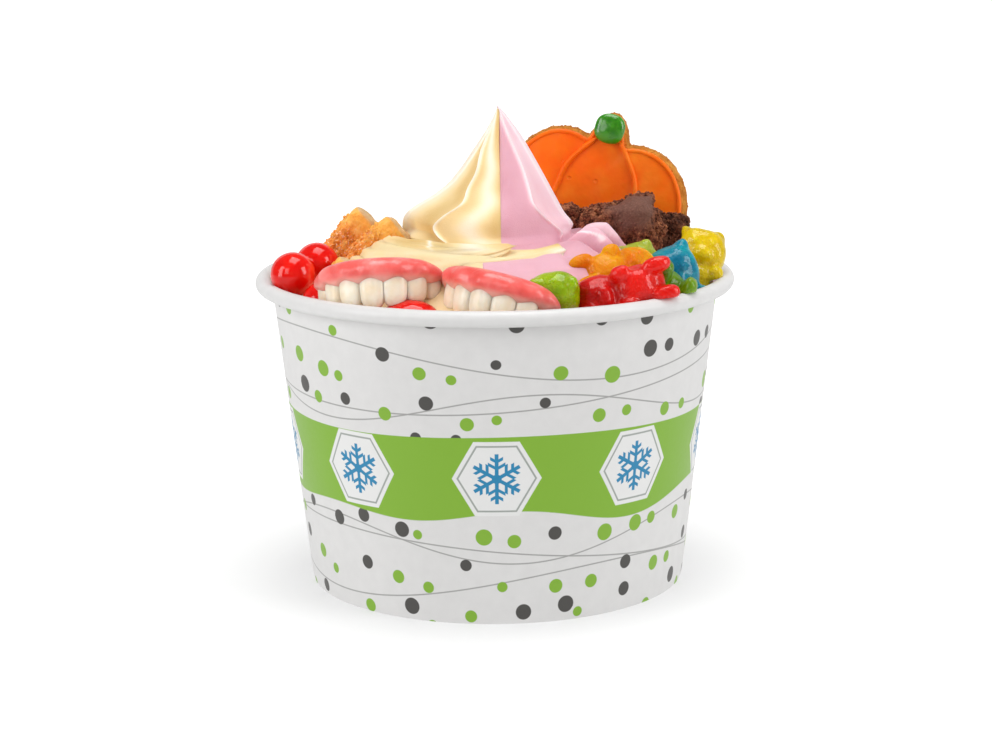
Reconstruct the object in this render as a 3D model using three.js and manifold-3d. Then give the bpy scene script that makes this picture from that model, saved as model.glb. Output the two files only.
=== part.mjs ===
// A paper cup of two-flavour frozen yogurt, heaped with sweets, standing on its foot.
// Millimetres, +Z up, the origin at the middle of the foot, the front of the cup towards -Y.
// The cup is a wall with a rolled rim and a separate bottom disc. A yellow and a pink yogurt fill it
// side by side and rise to a pulled-up cone. On them lie an iced pumpkin biscuit, brownie chunks,
// crunchy toffee bars, jelly bears, two sets of jelly teeth and red jelly balls.
import * as THREE from "three";
import { mergeVertices } from "three/addons/utils/BufferGeometryUtils.js";
import { ConvexGeometry } from "three/addons/geometries/ConvexGeometry.js";
import Module from "manifold-3d";

const wasm = await Module();
wasm.setup();

// Driving dimensions.
const CUP_SEGMENTS = 44;
const CUP_HEIGHT = 74.5;
const RIM_RADIUS = 56;
const MOUTH_RADIUS = 52; // outside of the wall, straight under the rim
const FOOT_RADIUS = 44;
const PAPER = 0.6; // thickness of the board
const CURL_RADIUS = 1.8; // outside of the rolled rim
const BASE_HEIGHT = 7; // the bottom disc's underside, above the foot
const FOLD_HEIGHT = 5.6; // the wall's inner edge, folded up inside the foot
const GAP = 0.3; // between pieces that touch
const FILL_HEIGHT = 68; // the yogurt's edge at the wall
const COIL_HEIGHT = 81.5; // of the coil that the cone stands on
const CONE_FOOT_HEIGHT = 83;
const CONE_TIP_HEIGHT = 113;
const CONE_LEFT_RADIUS = 20.6;
const CONE_RIGHT_RADIUS = 18;
const BEAR_LENGTH = 21;
const BALL_RADIUS = 5.2;
const ARCH_HALF_WIDTH = 13.8; // of a set of jelly teeth, along the middle of its gum
const ARCH_DEPTH = 12.5;
const BISCUIT_HALF_WIDTH = 23.3;
const BISCUIT_THICKNESS = 4.6;
const ICING_THICKNESS = 1.1;

const TAU = Math.PI * 2;
const degrees = Math.PI / 180;
const mix = THREE.MathUtils.lerp;
const smooth = THREE.MathUtils.smoothstep;

// ---------------------------------------------------------------- solids

// A closed geometry as a solid, with its shared corners merged and its collapsed faces left out.
function solid(geometry) {
  const loose = geometry.index ? geometry.toNonIndexed() : geometry;
  const bare = new THREE.BufferGeometry();
  bare.setAttribute("position", loose.getAttribute("position"));
  const merged = mergeVertices(bare, 1e-4);
  const corners = merged.index.array;
  const kept = [];
  for (let i = 0; i < corners.length; i += 3) {
    const [a, b, c] = corners.slice(i, i + 3);
    if (a !== b && b !== c && c !== a) kept.push(a, b, c);
  }
  const build = (faces) =>
    new wasm.Manifold(
      new wasm.Mesh({
        numProp: 3,
        vertProperties: merged.attributes.position.array,
        triVerts: new Uint32Array(faces),
      }),
    );
  const made = build(kept);
  return made.volume() > 0 ? made : build(kept.reverse());
}

// A solid's triangles as a geometry.
function geometryOf(made) {
  const mesh = made.getMesh();
  const geometry = new THREE.BufferGeometry();
  geometry.setAttribute("position", new THREE.BufferAttribute(mesh.vertProperties, 3));
  geometry.setIndex(new THREE.BufferAttribute(mesh.triVerts, 1));
  geometry.computeVertexNormals();
  return geometry;
}

const joined = (pieces) => pieces.reduce((whole, piece) => whole.add(piece));

// The largest of a solid's separate bodies, so that a cut leaves no crumbs behind.
function largestBody(made) {
  return made.decompose().sort((a, b) => b.volume() - a.volume())[0];
}

// A closed skin over a grid of points: round its columns, and shut at its first and last row.
function skin(rows, columns, pointAt) {
  const positions = [];
  const ring = (i) => Array.from({ length: columns }, (_, j) => pointAt(i / rows, j / columns));
  const face = (a, b, c) => positions.push(...a, ...b, ...c);
  const shut = (points, isFirst) => {
    const centre = points.reduce((sum, point) => sum.add(point), new THREE.Vector3());
    centre.divideScalar(columns);
    points.forEach((point, j) => {
      const next = points[(j + 1) % columns];
      if (isFirst) face(centre, next, point);
      else face(centre, point, next);
    });
  };
  let last = ring(0);
  shut(last, true);
  for (let i = 1; i <= rows; i++) {
    const now = ring(i);
    for (let j = 0; j < columns; j++) {
      const k = (j + 1) % columns;
      face(last[j], last[k], now[j]);
      face(last[k], now[k], now[j]);
    }
    last = now;
  }
  shut(last, false);
  const geometry = new THREE.BufferGeometry();
  geometry.setAttribute("position", new THREE.Float32BufferAttribute(positions, 3));
  return solid(geometry);
}

// A round or egg-shaped blob.
function blob(centre, radii, wide = 8, high = 6) {
  const geometry = new THREE.SphereGeometry(1, wide, high);
  geometry.scale(...radii).translate(...centre);
  return solid(geometry);
}

// A solid turned about Z from an outline of [radius, height] points that closes on itself.
function turned(outline, segments) {
  const points = [...outline, outline[0]].map(([r, z]) => new THREE.Vector2(r, z));
  return solid(new THREE.LatheGeometry(points, segments).rotateX(Math.PI / 2));
}

// Both sides of a sheet of board that follows a path of [radius, height] points, with mitred corners.
function sheetOutline(path, thickness) {
  const points = path.map(([r, z]) => new THREE.Vector2(r, z));
  const normals = points.slice(1).map((point, i) => {
    const along = point.clone().sub(points[i]).normalize();
    return new THREE.Vector2(-along.y, along.x);
  });
  const side = (sign) =>
    points.map((point, i) => {
      const before = normals[Math.max(i - 1, 0)];
      const after = normals[Math.min(i, normals.length - 1)];
      const mitre = (sign * thickness) / 2 / (1 + before.dot(after));
      return point.clone().addScaledVector(before, mitre).addScaledVector(after, mitre).toArray();
    });
  return [...side(1), ...side(-1).reverse()];
}

// A point on a circle about Z. Angles run from the front, -Y, towards +X.
function polar(radius, angle, z) {
  return new THREE.Vector3(radius * Math.sin(angle), -radius * Math.cos(angle), z);
}

// ---------------------------------------------------------------- placing

const cupOfYogurt = new THREE.Group();
const seats = []; // what each topping presses into the yogurt
const laid = []; // the room that what is already in place takes up

function addMesh(name, made, colour, roughness) {
  const material = new THREE.MeshStandardMaterial({ color: colour, roughness, metalness: 0 });
  const mesh = new THREE.Mesh(geometryOf(made), material);
  mesh.name = name;
  cupOfYogurt.add(mesh);
  return mesh;
}

// The move that takes a piece's own +Z to up and its own -Y as near as can be to front.
function placing({ at, up = [0, 0, 1], front = [0, -1, 0] }) {
  const z = new THREE.Vector3(...up).normalize();
  const y = new THREE.Vector3(...front).negate();
  y.addScaledVector(z, -y.dot(z)).normalize();
  const x = new THREE.Vector3().crossVectors(y, z);
  return new THREE.Matrix4().makeBasis(x, y, z).setPosition(...at);
}

const moved = (made, matrix) => made.transform(Array.from(matrix.elements));

// A solid made larger about its own middle, by a gap each way.
function grown(made) {
  const { min, max } = made.boundingBox();
  const middle = min.map((low, i) => (low + max[i]) / 2);
  const factor = min.map((low, i) => 1 + (2 * GAP) / (max[i] - low));
  const shifted = made.translate(middle.map((v) => -v));
  return shifted.scale(factor).translate(middle);
}

// The convex seat round a solid: planes a gap off it, facing the ways that a cube's faces, edges and
// corners face. Each corner of the seat is the pole of one face of the hull round the planes' poles.
function seatOf(made) {
  const { vertProperties } = made.getMesh();
  const { min, max } = made.boundingBox();
  const centre = new THREE.Vector3(...min).add(new THREE.Vector3(...max)).divideScalar(2);
  const points = [];
  for (let i = 0; i < vertProperties.length; i += 3)
    points.push(new THREE.Vector3().fromArray(vertProperties, i).sub(centre));
  const ways = [-1, 0, 1];
  const poles = ways
    .flatMap((x) => ways.flatMap((y) => ways.map((z) => new THREE.Vector3(x, y, z))))
    .filter((way) => way.length() > 0)
    .map((way) => {
      way.normalize();
      return way.divideScalar(Math.max(...points.map((point) => point.dot(way))) + GAP);
    });
  const { array } = new ConvexGeometry(poles).getAttribute("position");
  const corners = [];
  for (let i = 0; i < array.length; i += 9) {
    const [a, b, c] = [0, 3, 6].map((k) => new THREE.Vector3().fromArray(array, i + k));
    const normal = b.clone().sub(a).cross(c.sub(a));
    corners.push(normal.divideScalar(normal.dot(a)).add(centre));
  }
  return solid(new ConvexGeometry(corners));
}

// Adds a topping, and its seat in the yogurt. A soft one gives way to all that is in place before it.
function addTopping(name, made, colour, roughness, where, isSoft = true) {
  const matrix = placing(where);
  const inPlace = moved(made, matrix);
  const inTheWay = laid.filter((other) => other.intersect(inPlace).volume() > 0);
  const fitted = isSoft && inTheWay.length > 0;
  const pressed = fitted ? largestBody(inPlace.subtract(joined(inTheWay))) : inPlace;
  const mesh = addMesh(name, moved(pressed, matrix.clone().invert()), colour, roughness);
  matrix.decompose(mesh.position, mesh.quaternion, mesh.scale);
  const seat = moved(seatOf(made), matrix);
  seats.push(seat);
  if (isSoft) laid.push(moved(grown(made), matrix));
  return seat;
}

// ---------------------------------------------------------------- the cup

const WALL_SLOPE = (MOUTH_RADIUS - FOOT_RADIUS) / (CUP_HEIGHT - 2 * CURL_RADIUS);
const outside = (z) => FOOT_RADIUS + WALL_SLOPE * z;
const inside = (z) => outside(z) - PAPER;

// The wall: folded up inside round the bottom disc's skirt, and rolled outwards at the rim.
function cupWall() {
  const foldRadius = PAPER + GAP; // leaves room for the skirt and a gap on each side of it
  const foldMiddle = FOOT_RADIUS - PAPER / 2 - foldRadius;
  const inner = [foldMiddle - foldRadius + WALL_SLOPE * FOLD_HEIGHT, FOLD_HEIGHT];
  const foldAngles = [0, 60, 120, 180].map((a) => a * degrees); // the middle pair make the flat foot
  const foldCentre = PAPER / 2 + foldRadius * Math.sin(foldAngles[1]);
  const fold = foldAngles.map((a) => [
    foldMiddle - foldRadius * Math.cos(a),
    foldCentre - foldRadius * Math.sin(a),
  ]);
  const straight = [outside(FILL_HEIGHT) - PAPER / 2, FILL_HEIGHT];
  const rollRadius = CURL_RADIUS - PAPER / 2;
  const roll = [180, 137, 94, 51, 8, -35, -78, -121].map((a) => [
    RIM_RADIUS - CURL_RADIUS + rollRadius * Math.cos(a * degrees),
    CUP_HEIGHT - CURL_RADIUS + rollRadius * Math.sin(a * degrees),
  ]);
  return turned(sheetOutline([inner, ...fold, straight, ...roll], PAPER), CUP_SEGMENTS);
}

// The room that the wall and the rim take up, a gap off them.
function rimRoom() {
  const curlMiddle = RIM_RADIUS - CURL_RADIUS;
  const reach = CURL_RADIUS + GAP;
  const curl = [180, 150, 120, 90].map((a) => [
    curlMiddle + reach * Math.cos(a * degrees),
    CUP_HEIGHT - CURL_RADIUS + reach * Math.sin(a * degrees),
  ]);
  const floor = FILL_HEIGHT - 20;
  const far = RIM_RADIUS + 10;
  const wall = [floor, FILL_HEIGHT].map((z) => [inside(z) - GAP, z]);
  const outline = [...wall, ...curl, [far, CUP_HEIGHT + GAP], [far, floor]];
  return turned(outline, CUP_SEGMENTS);
}

// The bottom: a disc with a skirt turned down into the wall's fold.
function cupBottom() {
  const skirt = (z) => outside(z) - PAPER - GAP;
  const skirtFoot = 2 * (PAPER + GAP);
  const top = BASE_HEIGHT + PAPER;
  const outline = [
    [0, BASE_HEIGHT],
    [skirt(BASE_HEIGHT) - PAPER, BASE_HEIGHT],
    [skirt(skirtFoot) - PAPER, skirtFoot],
    [skirt(skirtFoot), skirtFoot],
    [skirt(top), top],
    [0, top],
  ];
  return turned(outline, CUP_SEGMENTS);
}

// ---------------------------------------------------------------- the yogurt

const CREASES = [-176, -132, -90, -28, 5, 50, 92, 138].map((a) => a * degrees);
const TURN_OUT = 0.42; // how far the creases swing away from the front at the cone's foot

// The cone's sections have a sharp crease at each angle above, and hollow faces between them.
function fluting(angle) {
  for (let i = 0; i < CREASES.length; i++) {
    const from = CREASES[i];
    const to = i + 1 < CREASES.length ? CREASES[i + 1] : CREASES[0] + TAU;
    const turn = angle < from ? angle + TAU : angle;
    const depth = 1.04 - Math.cos((to - from) / 2);
    if (turn >= from && turn < to)
      return 1 - depth * Math.sin((Math.PI * (turn - from)) / (to - from));
  }
  return 1;
}

// The cone: broad-shouldered on the left, straighter on the right, pulled up to a point.
function conePoint(share, angle) {
  const shoulder = 4 * Math.exp(-(((share - 0.18) / 0.14) ** 2));
  const leftRadius = CONE_LEFT_RADIUS * (1 - share) ** 1.35 + shoulder;
  const rightRadius = CONE_RIGHT_RADIUS * (1 - share) ** 0.88;
  const nearFront = Math.sin(angle) * Math.cos(angle / 2) ** 2;
  const swung = angle - TURN_OUT * (1 - smooth(share, 0, 0.35)) * nearFront;
  const radius = mix(leftRadius, rightRadius, 0.5 + 0.5 * Math.sin(angle)) * fluting(swung);
  const point = polar(radius, angle, mix(CONE_FOOT_HEIGHT, CONE_TIP_HEIGHT, share));
  return point.setX(point.x + share);
}

// The bed under the cone: [radius, height] from the bottom disc out to the wall and up to the coil.
const BED_BOTTOM = BASE_HEIGHT + PAPER + GAP;
const BED_OUTLINE = [
  [0.5, BED_BOTTOM],
  [inside(BED_BOTTOM) - GAP, BED_BOTTOM],
  [inside(FILL_HEIGHT) - GAP, FILL_HEIGHT],
  [46, 69.8],
  [41, 72.8],
  [37, 76],
  [34, 79],
  [31, COIL_HEIGHT - 1],
  [27.5, COIL_HEIGHT],
  [23.5, COIL_HEIGHT],
  [18.8, COIL_HEIGHT - 0.5],
];
const FIRST_WAVY_ROW = 3;
const CONE_ROWS = 12;

function bedPoint(i, angle) {
  const [radius, height] = BED_OUTLINE[i];
  if (i < FIRST_WAVY_ROW) return polar(radius, angle, height);
  const up = (i - FIRST_WAVY_ROW) / (BED_OUTLINE.length - 1 - FIRST_WAVY_ROW);
  const fold = Math.sin(angle * 2 + 0.6) * 1.1 + Math.sin(angle * 9 + up * 3) * 0.5;
  const onRight = Math.max(Math.sin(angle), 0);
  const bulge = 3 * onRight * smooth(up, 0.4, 0.9);
  const heap = 1.5 * Math.cos(angle) * (1 - up);
  return polar(radius + fold * Math.sin(Math.PI * up), angle, height + bulge + heap);
}

function yogurtMass() {
  const bedRows = BED_OUTLINE.length;
  const rows = bedRows + CONE_ROWS;
  return skin(rows, 36, (row, around) => {
    const i = Math.round(row * rows);
    const angle = Math.PI - around * TAU;
    return i < bedRows ? bedPoint(i, angle) : conePoint((i - bedRows) / CONE_ROWS, angle);
  });
}

// The yellow coil: a strip round the cone's foot that thins out to a blunt end on the right.
function ribbon(grow) {
  const from = -118 * degrees;
  const to = 41 * degrees;
  return skin(14, 8, (along, around) => {
    const angle = mix(from, to, along);
    const taper = Math.min(1, 0.35 + 6 * along) * (1 - 0.5 * along);
    const a = around * TAU;
    const r = mix(26.6, 24.5, along) + (4.6 * taper + grow) * Math.cos(a);
    const z = mix(80.4, 81.6, along) + (3.4 * taper + grow) * Math.sin(a) - 0.25 * (r - 26);
    return polar(r, angle, z);
  });
}

// All that lies to the left of the sheet where the two flavours meet.
function leftOf(shift) {
  const cone = 1.3 + shift;
  const coil = shift - 2.6;
  const top = CONE_TIP_HEIGHT + 5;
  const corners = [
    [-60, -5],
    [coil, -5],
    [coil, COIL_HEIGHT - 2],
    [cone, COIL_HEIGHT + 0.5],
    [cone, top - 14],
    [cone - 0.6, top],
    [-60, top],
  ];
  const shape = new THREE.Shape(corners.map(([x, z]) => new THREE.Vector2(x, z)));
  const slab = new THREE.ExtrudeGeometry(shape, { depth: 120, bevelEnabled: false });
  return solid(slab.translate(0, 0, -60).rotateX(Math.PI / 2));
}

function addYogurt() {
  const mass = yogurtMass();
  const hollows = joined(seats);
  const yellow = mass.intersect(leftOf(0)).add(ribbon(0)).subtract(hollows);
  const pink = mass.subtract(leftOf(GAP)).subtract(ribbon(GAP)).subtract(hollows);
  addMesh("yogurt_yellow", largestBody(yellow), 0xf3dc9a, 0.5);
  addMesh("yogurt_pink", largestBody(pink), 0xeebcd2, 0.5);
}

// ---------------------------------------------------------------- the biscuit

// The pumpkin seen from the front: two side lobes, the middle and a stub for the stalk, as ellipses
// that each hold the biscuit's centre: [middle across, middle up, half width, half height].
const LOBES_HALF_WIDTH = 23.3; // across the two side lobes, before they are scaled
const LOBES = [
  [-9, -1.2, 13.4, 16.8],
  [9.5, -0.6, 13.8, 15.9],
  [0, 0, 13, 15.6],
  [0.4, 11, 5.2, 10.4],
];

function pumpkinRadius(angle, inset) {
  const [ux, uz] = [Math.cos(angle), Math.sin(angle)];
  const reaches = LOBES.map(([x, z, halfWidth, halfHeight]) => {
    const [w, h] = [halfWidth - inset, halfHeight - inset];
    const a = (ux / w) ** 2 + (uz / h) ** 2;
    const b = (ux * x) / w ** 2 + (uz * z) / h ** 2;
    const c = (x / w) ** 2 + (z / h) ** 2 - 1;
    const root = b * b - a * c;
    return root < 0 ? 0 : (b + Math.sqrt(root)) / a;
  });
  return Math.max(...reaches);
}

function pumpkinSlab(inset, thickness, bevel) {
  const steps = 40;
  const scale = BISCUIT_HALF_WIDTH / LOBES_HALF_WIDTH;
  const outline = Array.from({ length: steps }, (_, i) => {
    const angle = (i / steps) * TAU;
    const r = (pumpkinRadius(angle, inset) - bevel) * scale;
    return new THREE.Vector2(r * Math.cos(angle), r * Math.sin(angle));
  });
  const slab = new THREE.ExtrudeGeometry(new THREE.Shape(outline), {
    depth: thickness - 2 * bevel,
    bevelThickness: bevel,
    bevelSize: bevel,
    bevelSegments: 1,
  });
  return solid(slab.translate(0, 0, bevel).rotateX(Math.PI / 2));
}

// A bead of piped icing along points.
function bead(points, radius) {
  const path = new THREE.CatmullRomCurve3(points.map((point) => new THREE.Vector3(...point)));
  const round = new THREE.Shape().absarc(0, 0, radius, 0, TAU);
  return solid(
    new THREE.ExtrudeGeometry(round, { extrudePath: path, steps: 6, curveSegments: 3 }),
  );
}

function addBiscuit() {
  const where = { at: [24.4, 25.5, 87.6], up: [0.26, 0.1, 0.96], front: [-0.16, -1, 0.1] };
  const front = -BISCUIT_THICKNESS - GAP;
  const face = front - ICING_THICKNESS;
  const icing = pumpkinSlab(1.8, ICING_THICKNESS, 0.4).translate([0, front, 0]);
  const ribs = [-1, 1].map((side) =>
    bead(
      [
        [side * 2.9, face, 14],
        [side * 6.2, face, 10],
        [side * 9.4, face, 2],
        [side * 9, face, -10],
      ],
      0.6,
    ),
  );
  const stalk = blob([0, face - GAP - 1.3, 17.2], [3.7, 1.3, 3.5], 10, 6);
  const slab = pumpkinSlab(0, BISCUIT_THICKNESS, 0.9);
  laid.push(addTopping("biscuit", slab, 0xd9a566, 0.8, where, false));
  laid.push(addTopping("biscuit_icing", joined([icing, ...ribs]), 0xf0650f, 0.4, where, false));
  addTopping("biscuit_stalk", stalk, 0x2f8a1c, 0.35, where, false);
}

// ---------------------------------------------------------------- brownie and toffee

// Smooth noise from a few sine waves, between about -1 and 1.
function ripple({ x, y, z }, seed) {
  const a = Math.sin(x * 0.9 + y * 1.3 + seed * 2.1) + Math.sin(y * 1.1 - z * 1.7 + seed * 4.7);
  const b = Math.sin(z * 1.9 + x * 2.3 - seed * 1.3) + Math.sin((x + y - z) * 2.9 + seed * 3.1);
  return (a + b * 0.8) / 3;
}

// A broken chunk: a ball pushed out towards the corners of its box, with a craggy skin.
function chunk([wide, deep, high], crag, seed) {
  const blunt = (v) => Math.sign(v) * Math.abs(v) ** 0.45;
  return skin(6, 10, (row, around) => {
    const tilt = (mix(0.04, 0.96, row) - 0.5) * Math.PI;
    const turn = around * TAU;
    const x = blunt(Math.cos(tilt)) * blunt(Math.cos(turn)) * wide * 0.5;
    const y = blunt(Math.cos(tilt)) * blunt(Math.sin(turn)) * deep * 0.5;
    const point = new THREE.Vector3(x, y, blunt(Math.sin(tilt)) * high * 0.5);
    return point.multiplyScalar(1 + (crag * ripple(point, seed)) / Math.max(point.length(), 1));
  });
}

// Each chunk: its name, its size across, through and up, and where it lies.
const BROWNIES = [
  ["brownie_front", [15, 9, 12], { at: [30.6, 4, 83], up: [-0.3, 0, 1], front: [-0.4, -1, 0] }],
  ["brownie_right", [10, 8, 12], { at: [41.6, 10, 80], up: [0.15, 0, 1], front: [0.3, -1, 0] }],
  ["brownie_left", [12, 6, 9], { at: [20.4, 12.4, 82.6], up: [0, 0, 1], front: [-0.3, -1, 0] }],
];

const TOFFEES = [
  ["toffee_left", [9, 8, 19], { at: [-34.4, 6, 80], up: [0.64, 0.1, 0.7] }],
  ["toffee_right", [8.5, 8, 20], { at: [-27.4, -3.4, 80], up: [0.7, 0.2, 0.66] }],
  ["toffee_crumb", [7, 6, 6], { at: [-33.6, -13.5, 76.2], up: [0.3, 0, 1] }],
];

function addChunks() {
  const brownieCrag = 1.1;
  const toffeeCrag = 0.7;
  BROWNIES.forEach(([name, size, where], i) =>
    addTopping(name, chunk(size, brownieCrag, i + 1), 0x4a2c22, 0.9, where),
  );
  TOFFEES.forEach(([name, size, where], i) =>
    addTopping(name, chunk(size, toffeeCrag, i + 4), 0xe08a2c, 0.8, where),
  );
}

// ---------------------------------------------------------------- jelly bears

// A rise of 1 at a centre, that fades out over a width.
const rise = (v, centre, width) => Math.exp(-(((v - centre) / width) ** 2));

// A bear stands along its own Z and faces -Y: a rounded bar with a flat back, whose outline swells at
// the folded legs, the paws, the head and the two ears.
const DRAWN_LENGTH = 21; // of the bear as the sizes below give it

function bear() {
  const scale = BEAR_LENGTH / DRAWN_LENGTH;
  return skin(12, 12, (row, around) => {
    const angle = Math.PI - around * TAU;
    const z = mix(-9.8, 9.8, row);
    const aside = Math.abs(Math.sin(angle));
    const through = Math.abs(Math.cos(angle));
    const ahead = Math.max(Math.cos(angle), 0);
    const halfWidth = 4.5 + rise(z, -7, 3) + rise(z, 0.6, 1.8) + 0.7 * rise(z, 7, 3);
    const halfDepth = 4.2 + 0.3 * rise(z, 5, 3);
    const blunt = 2.6; // between an ellipse, 2, and a box
    const plain = ((aside / halfWidth) ** blunt + (through / halfDepth) ** blunt) ** (-1 / blunt);
    const limb = Math.abs(Math.sin(2 * angle)) * Math.sqrt(ahead);
    const limbs = limb * (3 * rise(z, -7.4, 2.4) + 1.8 * rise(z, 0.6, 1.7));
    const muzzle = ahead ** 4 * 1.9 * rise(z, 4.6, 1.5);
    const ends = Math.max(1 - Math.abs(2 * row - 1) ** 7, 0.3);
    const ears = 1.4 * aside ** 2 * Math.max(2 * row - 1, 0) ** 6;
    return polar((plain + limbs + muzzle) * ends, angle, z + ears).multiplyScalar(scale);
  });
}

// Each bear: its name, its colour, where its middle is, which way its head points and it faces.
const BEARS = [
  ["red", 0xe0201a, { at: [28.4, -37.2, 76.2], up: [-0.93, -0.1, -0.12], front: [0, -0.8, 0.6] }],
  ["blue", 0x0a96b4, { at: [41.2, -20.6, 73.2], up: [-0.5, -0.1, 0.86], front: [0.1, -1, 0.3] }],
  ["yellow", 0xd9c800, { at: [46.6, -8.6, 75.6], up: [0.2, 0.3, 0.95], front: [-0.1, -1, 0.2] }],
  ["orange", 0xf09012, { at: [28, -26.4, 77.4], up: [0.97, 0.2, 0.05], front: [0.2, -0.9, 0.4] }],
  ["lime", 0x9cc812, { at: [13.4, -36.4, 73], up: [-0.1, -0.85, 0.5], front: [0, -0.5, -0.85] }],
  ["pale", 0xb4c83c, { at: [34.4, -14, 72.8], up: [0, 0.4, 0.9], front: [-0.3, -1, 0] }],
  ["green", 0x6f9a10, { at: [35.4, -29.4, 69.6], up: [-0.6, 0.1, -0.75], front: [0.2, -0.95, 0.2] }],
];

function addBears() {
  for (const [flavour, colour, where] of BEARS)
    addTopping("bear_" + flavour, bear(), colour, 0.3, where);
}

// ---------------------------------------------------------------- jelly teeth

const ARCH_SWEEP = 74 * degrees;
const TOOTH_COUNT = 7;

// The arch that gum and teeth follow, seen from above: its front at the origin, its ends behind.
function archPoint(angle, outwards, z) {
  const bow = new THREE.Vector3(Math.sin(angle) * ARCH_HALF_WIDTH, -Math.cos(angle) * ARCH_DEPTH, z);
  const away = new THREE.Vector3(Math.sin(angle) * ARCH_DEPTH, -Math.cos(angle) * ARCH_HALF_WIDTH, 0);
  bow.addScaledVector(away.normalize(), outwards);
  return bow.setY(bow.y + ARCH_DEPTH);
}

function gum(grow) {
  return skin(12, 8, (along, around) => {
    const end = Math.abs(along - 0.5) * 2;
    const full = Math.max(Math.sqrt(1 - end ** 6) * (1 - 0.15 * end), 0.1);
    const a = around * TAU;
    const sweep = ARCH_SWEEP + 0.12 + grow / ARCH_HALF_WIDTH;
    return archPoint(
      (along - 0.5) * 2 * sweep,
      -0.4 + (3.4 + grow) * full * Math.cos(a),
      2.4 + (2.9 + grow) * full * Math.sin(a),
    );
  });
}

// A row of teeth: one band that is cut in between each two, longest at the front of the arch.
function teeth() {
  const steps = 4 * TOOTH_COUNT;
  const row = skin(steps, 6, (along, around) => {
    const within = Math.min(1.4 * Math.abs(Math.sin(Math.PI * TOOTH_COUNT * along)), 1);
    const back = Math.abs(along - 0.5) * 2;
    const full = mix(0.6, 1, within) * Math.max(1 - back ** 8, 0.4);
    const a = (around - 0.25) * TAU;
    const angle = (along - 0.5) * 2 * ARCH_SWEEP;
    const height = (5.5 - 1.8 * back) * full;
    return archPoint(angle, -0.6 + 3 * full * Math.cos(a), -0.75 + height * Math.sin(a));
  });
  return largestBody(row.subtract(gum(GAP)));
}

const TEETH_SETS = [
  ["left", { at: [-26.8, -40.4, 78.8], up: [-0.04, 0.3, 0.95], front: [-0.14, -1, 0] }],
  ["right", { at: [-2.4, -46.4, 77], up: [0.24, 0.2, 0.94], front: [-0.55, -1, 0] }],
];

function addTeeth() {
  const rooms = TEETH_SETS.flatMap(([side, where]) => [
    addTopping("gum_" + side, gum(0), 0xe8716e, 0.3, where, false),
    addTopping("teeth_" + side, teeth(), 0xeee2cf, 0.35, where, false),
  ]);
  laid.push(...rooms);
}

// ---------------------------------------------------------------- red balls

const BALLS = [
  ["ball_front", [-46, -16, 76.4]],
  ["ball_back", [-41.2, -6, 77]],
  ["ball_low", [-38.4, -24.4, 71]],
  ["ball_middle", [-18.6, -41.2, 69.6]],
];

function addBalls() {
  const ball = solid(new THREE.IcosahedronGeometry(BALL_RADIUS, 2));
  for (const [name, at] of BALLS) addTopping(name, ball, 0xd40d0a, 0.15, { at });
}

// ---------------------------------------------------------------- assembly

addMesh("cup_wall", cupWall(), 0xf4f4f2, 0.45);
addMesh("cup_bottom", cupBottom(), 0xf0f0ee, 0.55);
laid.push(rimRoom());
addBiscuit();
addTeeth();
addBalls();
addChunks();
addBears();
addYogurt();

export default cupOfYogurt;
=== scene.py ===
"""A paper cup of two-flavour frozen yogurt, heaped with sweets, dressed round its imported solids.

Blender works in metres and the sizes below are millimetres. The front of the cup faces -Y.
"""

import math

import bmesh
import bpy
import numpy as np
from mathutils import Matrix, Vector, noise


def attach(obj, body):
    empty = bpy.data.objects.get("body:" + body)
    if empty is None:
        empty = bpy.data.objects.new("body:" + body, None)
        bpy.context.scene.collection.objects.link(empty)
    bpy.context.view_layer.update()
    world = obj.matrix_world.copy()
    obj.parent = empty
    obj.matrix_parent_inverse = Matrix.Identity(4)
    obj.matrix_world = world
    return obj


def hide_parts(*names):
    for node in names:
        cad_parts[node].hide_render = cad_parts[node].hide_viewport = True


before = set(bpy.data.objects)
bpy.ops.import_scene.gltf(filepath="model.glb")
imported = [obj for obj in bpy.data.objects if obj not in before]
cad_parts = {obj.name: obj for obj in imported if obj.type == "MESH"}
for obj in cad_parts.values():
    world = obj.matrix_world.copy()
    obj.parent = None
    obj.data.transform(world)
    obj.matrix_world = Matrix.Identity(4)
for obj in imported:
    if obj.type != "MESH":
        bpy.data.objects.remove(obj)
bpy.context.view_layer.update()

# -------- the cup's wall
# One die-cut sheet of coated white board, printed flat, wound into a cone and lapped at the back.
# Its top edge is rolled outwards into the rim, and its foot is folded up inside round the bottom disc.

MM = 0.001
TAU = 2 * math.pi

CUP_HEIGHT = 74.5
RIM_RADIUS = 56
MOUTH_RADIUS = 52
FOOT_RADIUS = 44
BOARD = 0.6
CURL_RADIUS = 1.8
CURL_FOOT = CUP_HEIGHT - 2 * CURL_RADIUS
FOLD_HEIGHT = 5.6
FOLD_CLEARED = 4  # the wall is straight from here up
GAP = 0.3
WALL_SLOPE = (MOUTH_RADIUS - FOOT_RADIUS) / CURL_FOOT


class Nodes:
    """A node tree being built."""

    def node(self, kind, *numbered, output=0, **named):
        """Adds a node. Names in small letters are its settings, and all else goes to its sockets."""
        made = self.tree.nodes.new(kind)
        sockets = dict(enumerate(numbered))
        for name, value in named.items():
            if name == "stops":
                elements = made.color_ramp.elements
                while len(elements) < len(value):
                    elements.new(1)
                for element, (position, code) in zip(elements, value):
                    element.position = position
                    element.color = rgb(code)
            elif name.islower():
                setattr(made, name, value)
            else:
                sockets[name.replace("_", " ")] = value
        for name, value in sockets.items():
            self.join(value, made.inputs[name])
        return Value(self, made.outputs[output])

    def join(self, value, socket):
        """Links a value, or each of a list of them, to a socket, or sets the socket to a number."""
        if isinstance(value, list):
            for one in value:
                self.join(one, socket)
        elif isinstance(value, Value):
            self.tree.links.new(value.socket, socket)
        elif value is not None:
            socket.default_value = value


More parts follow.
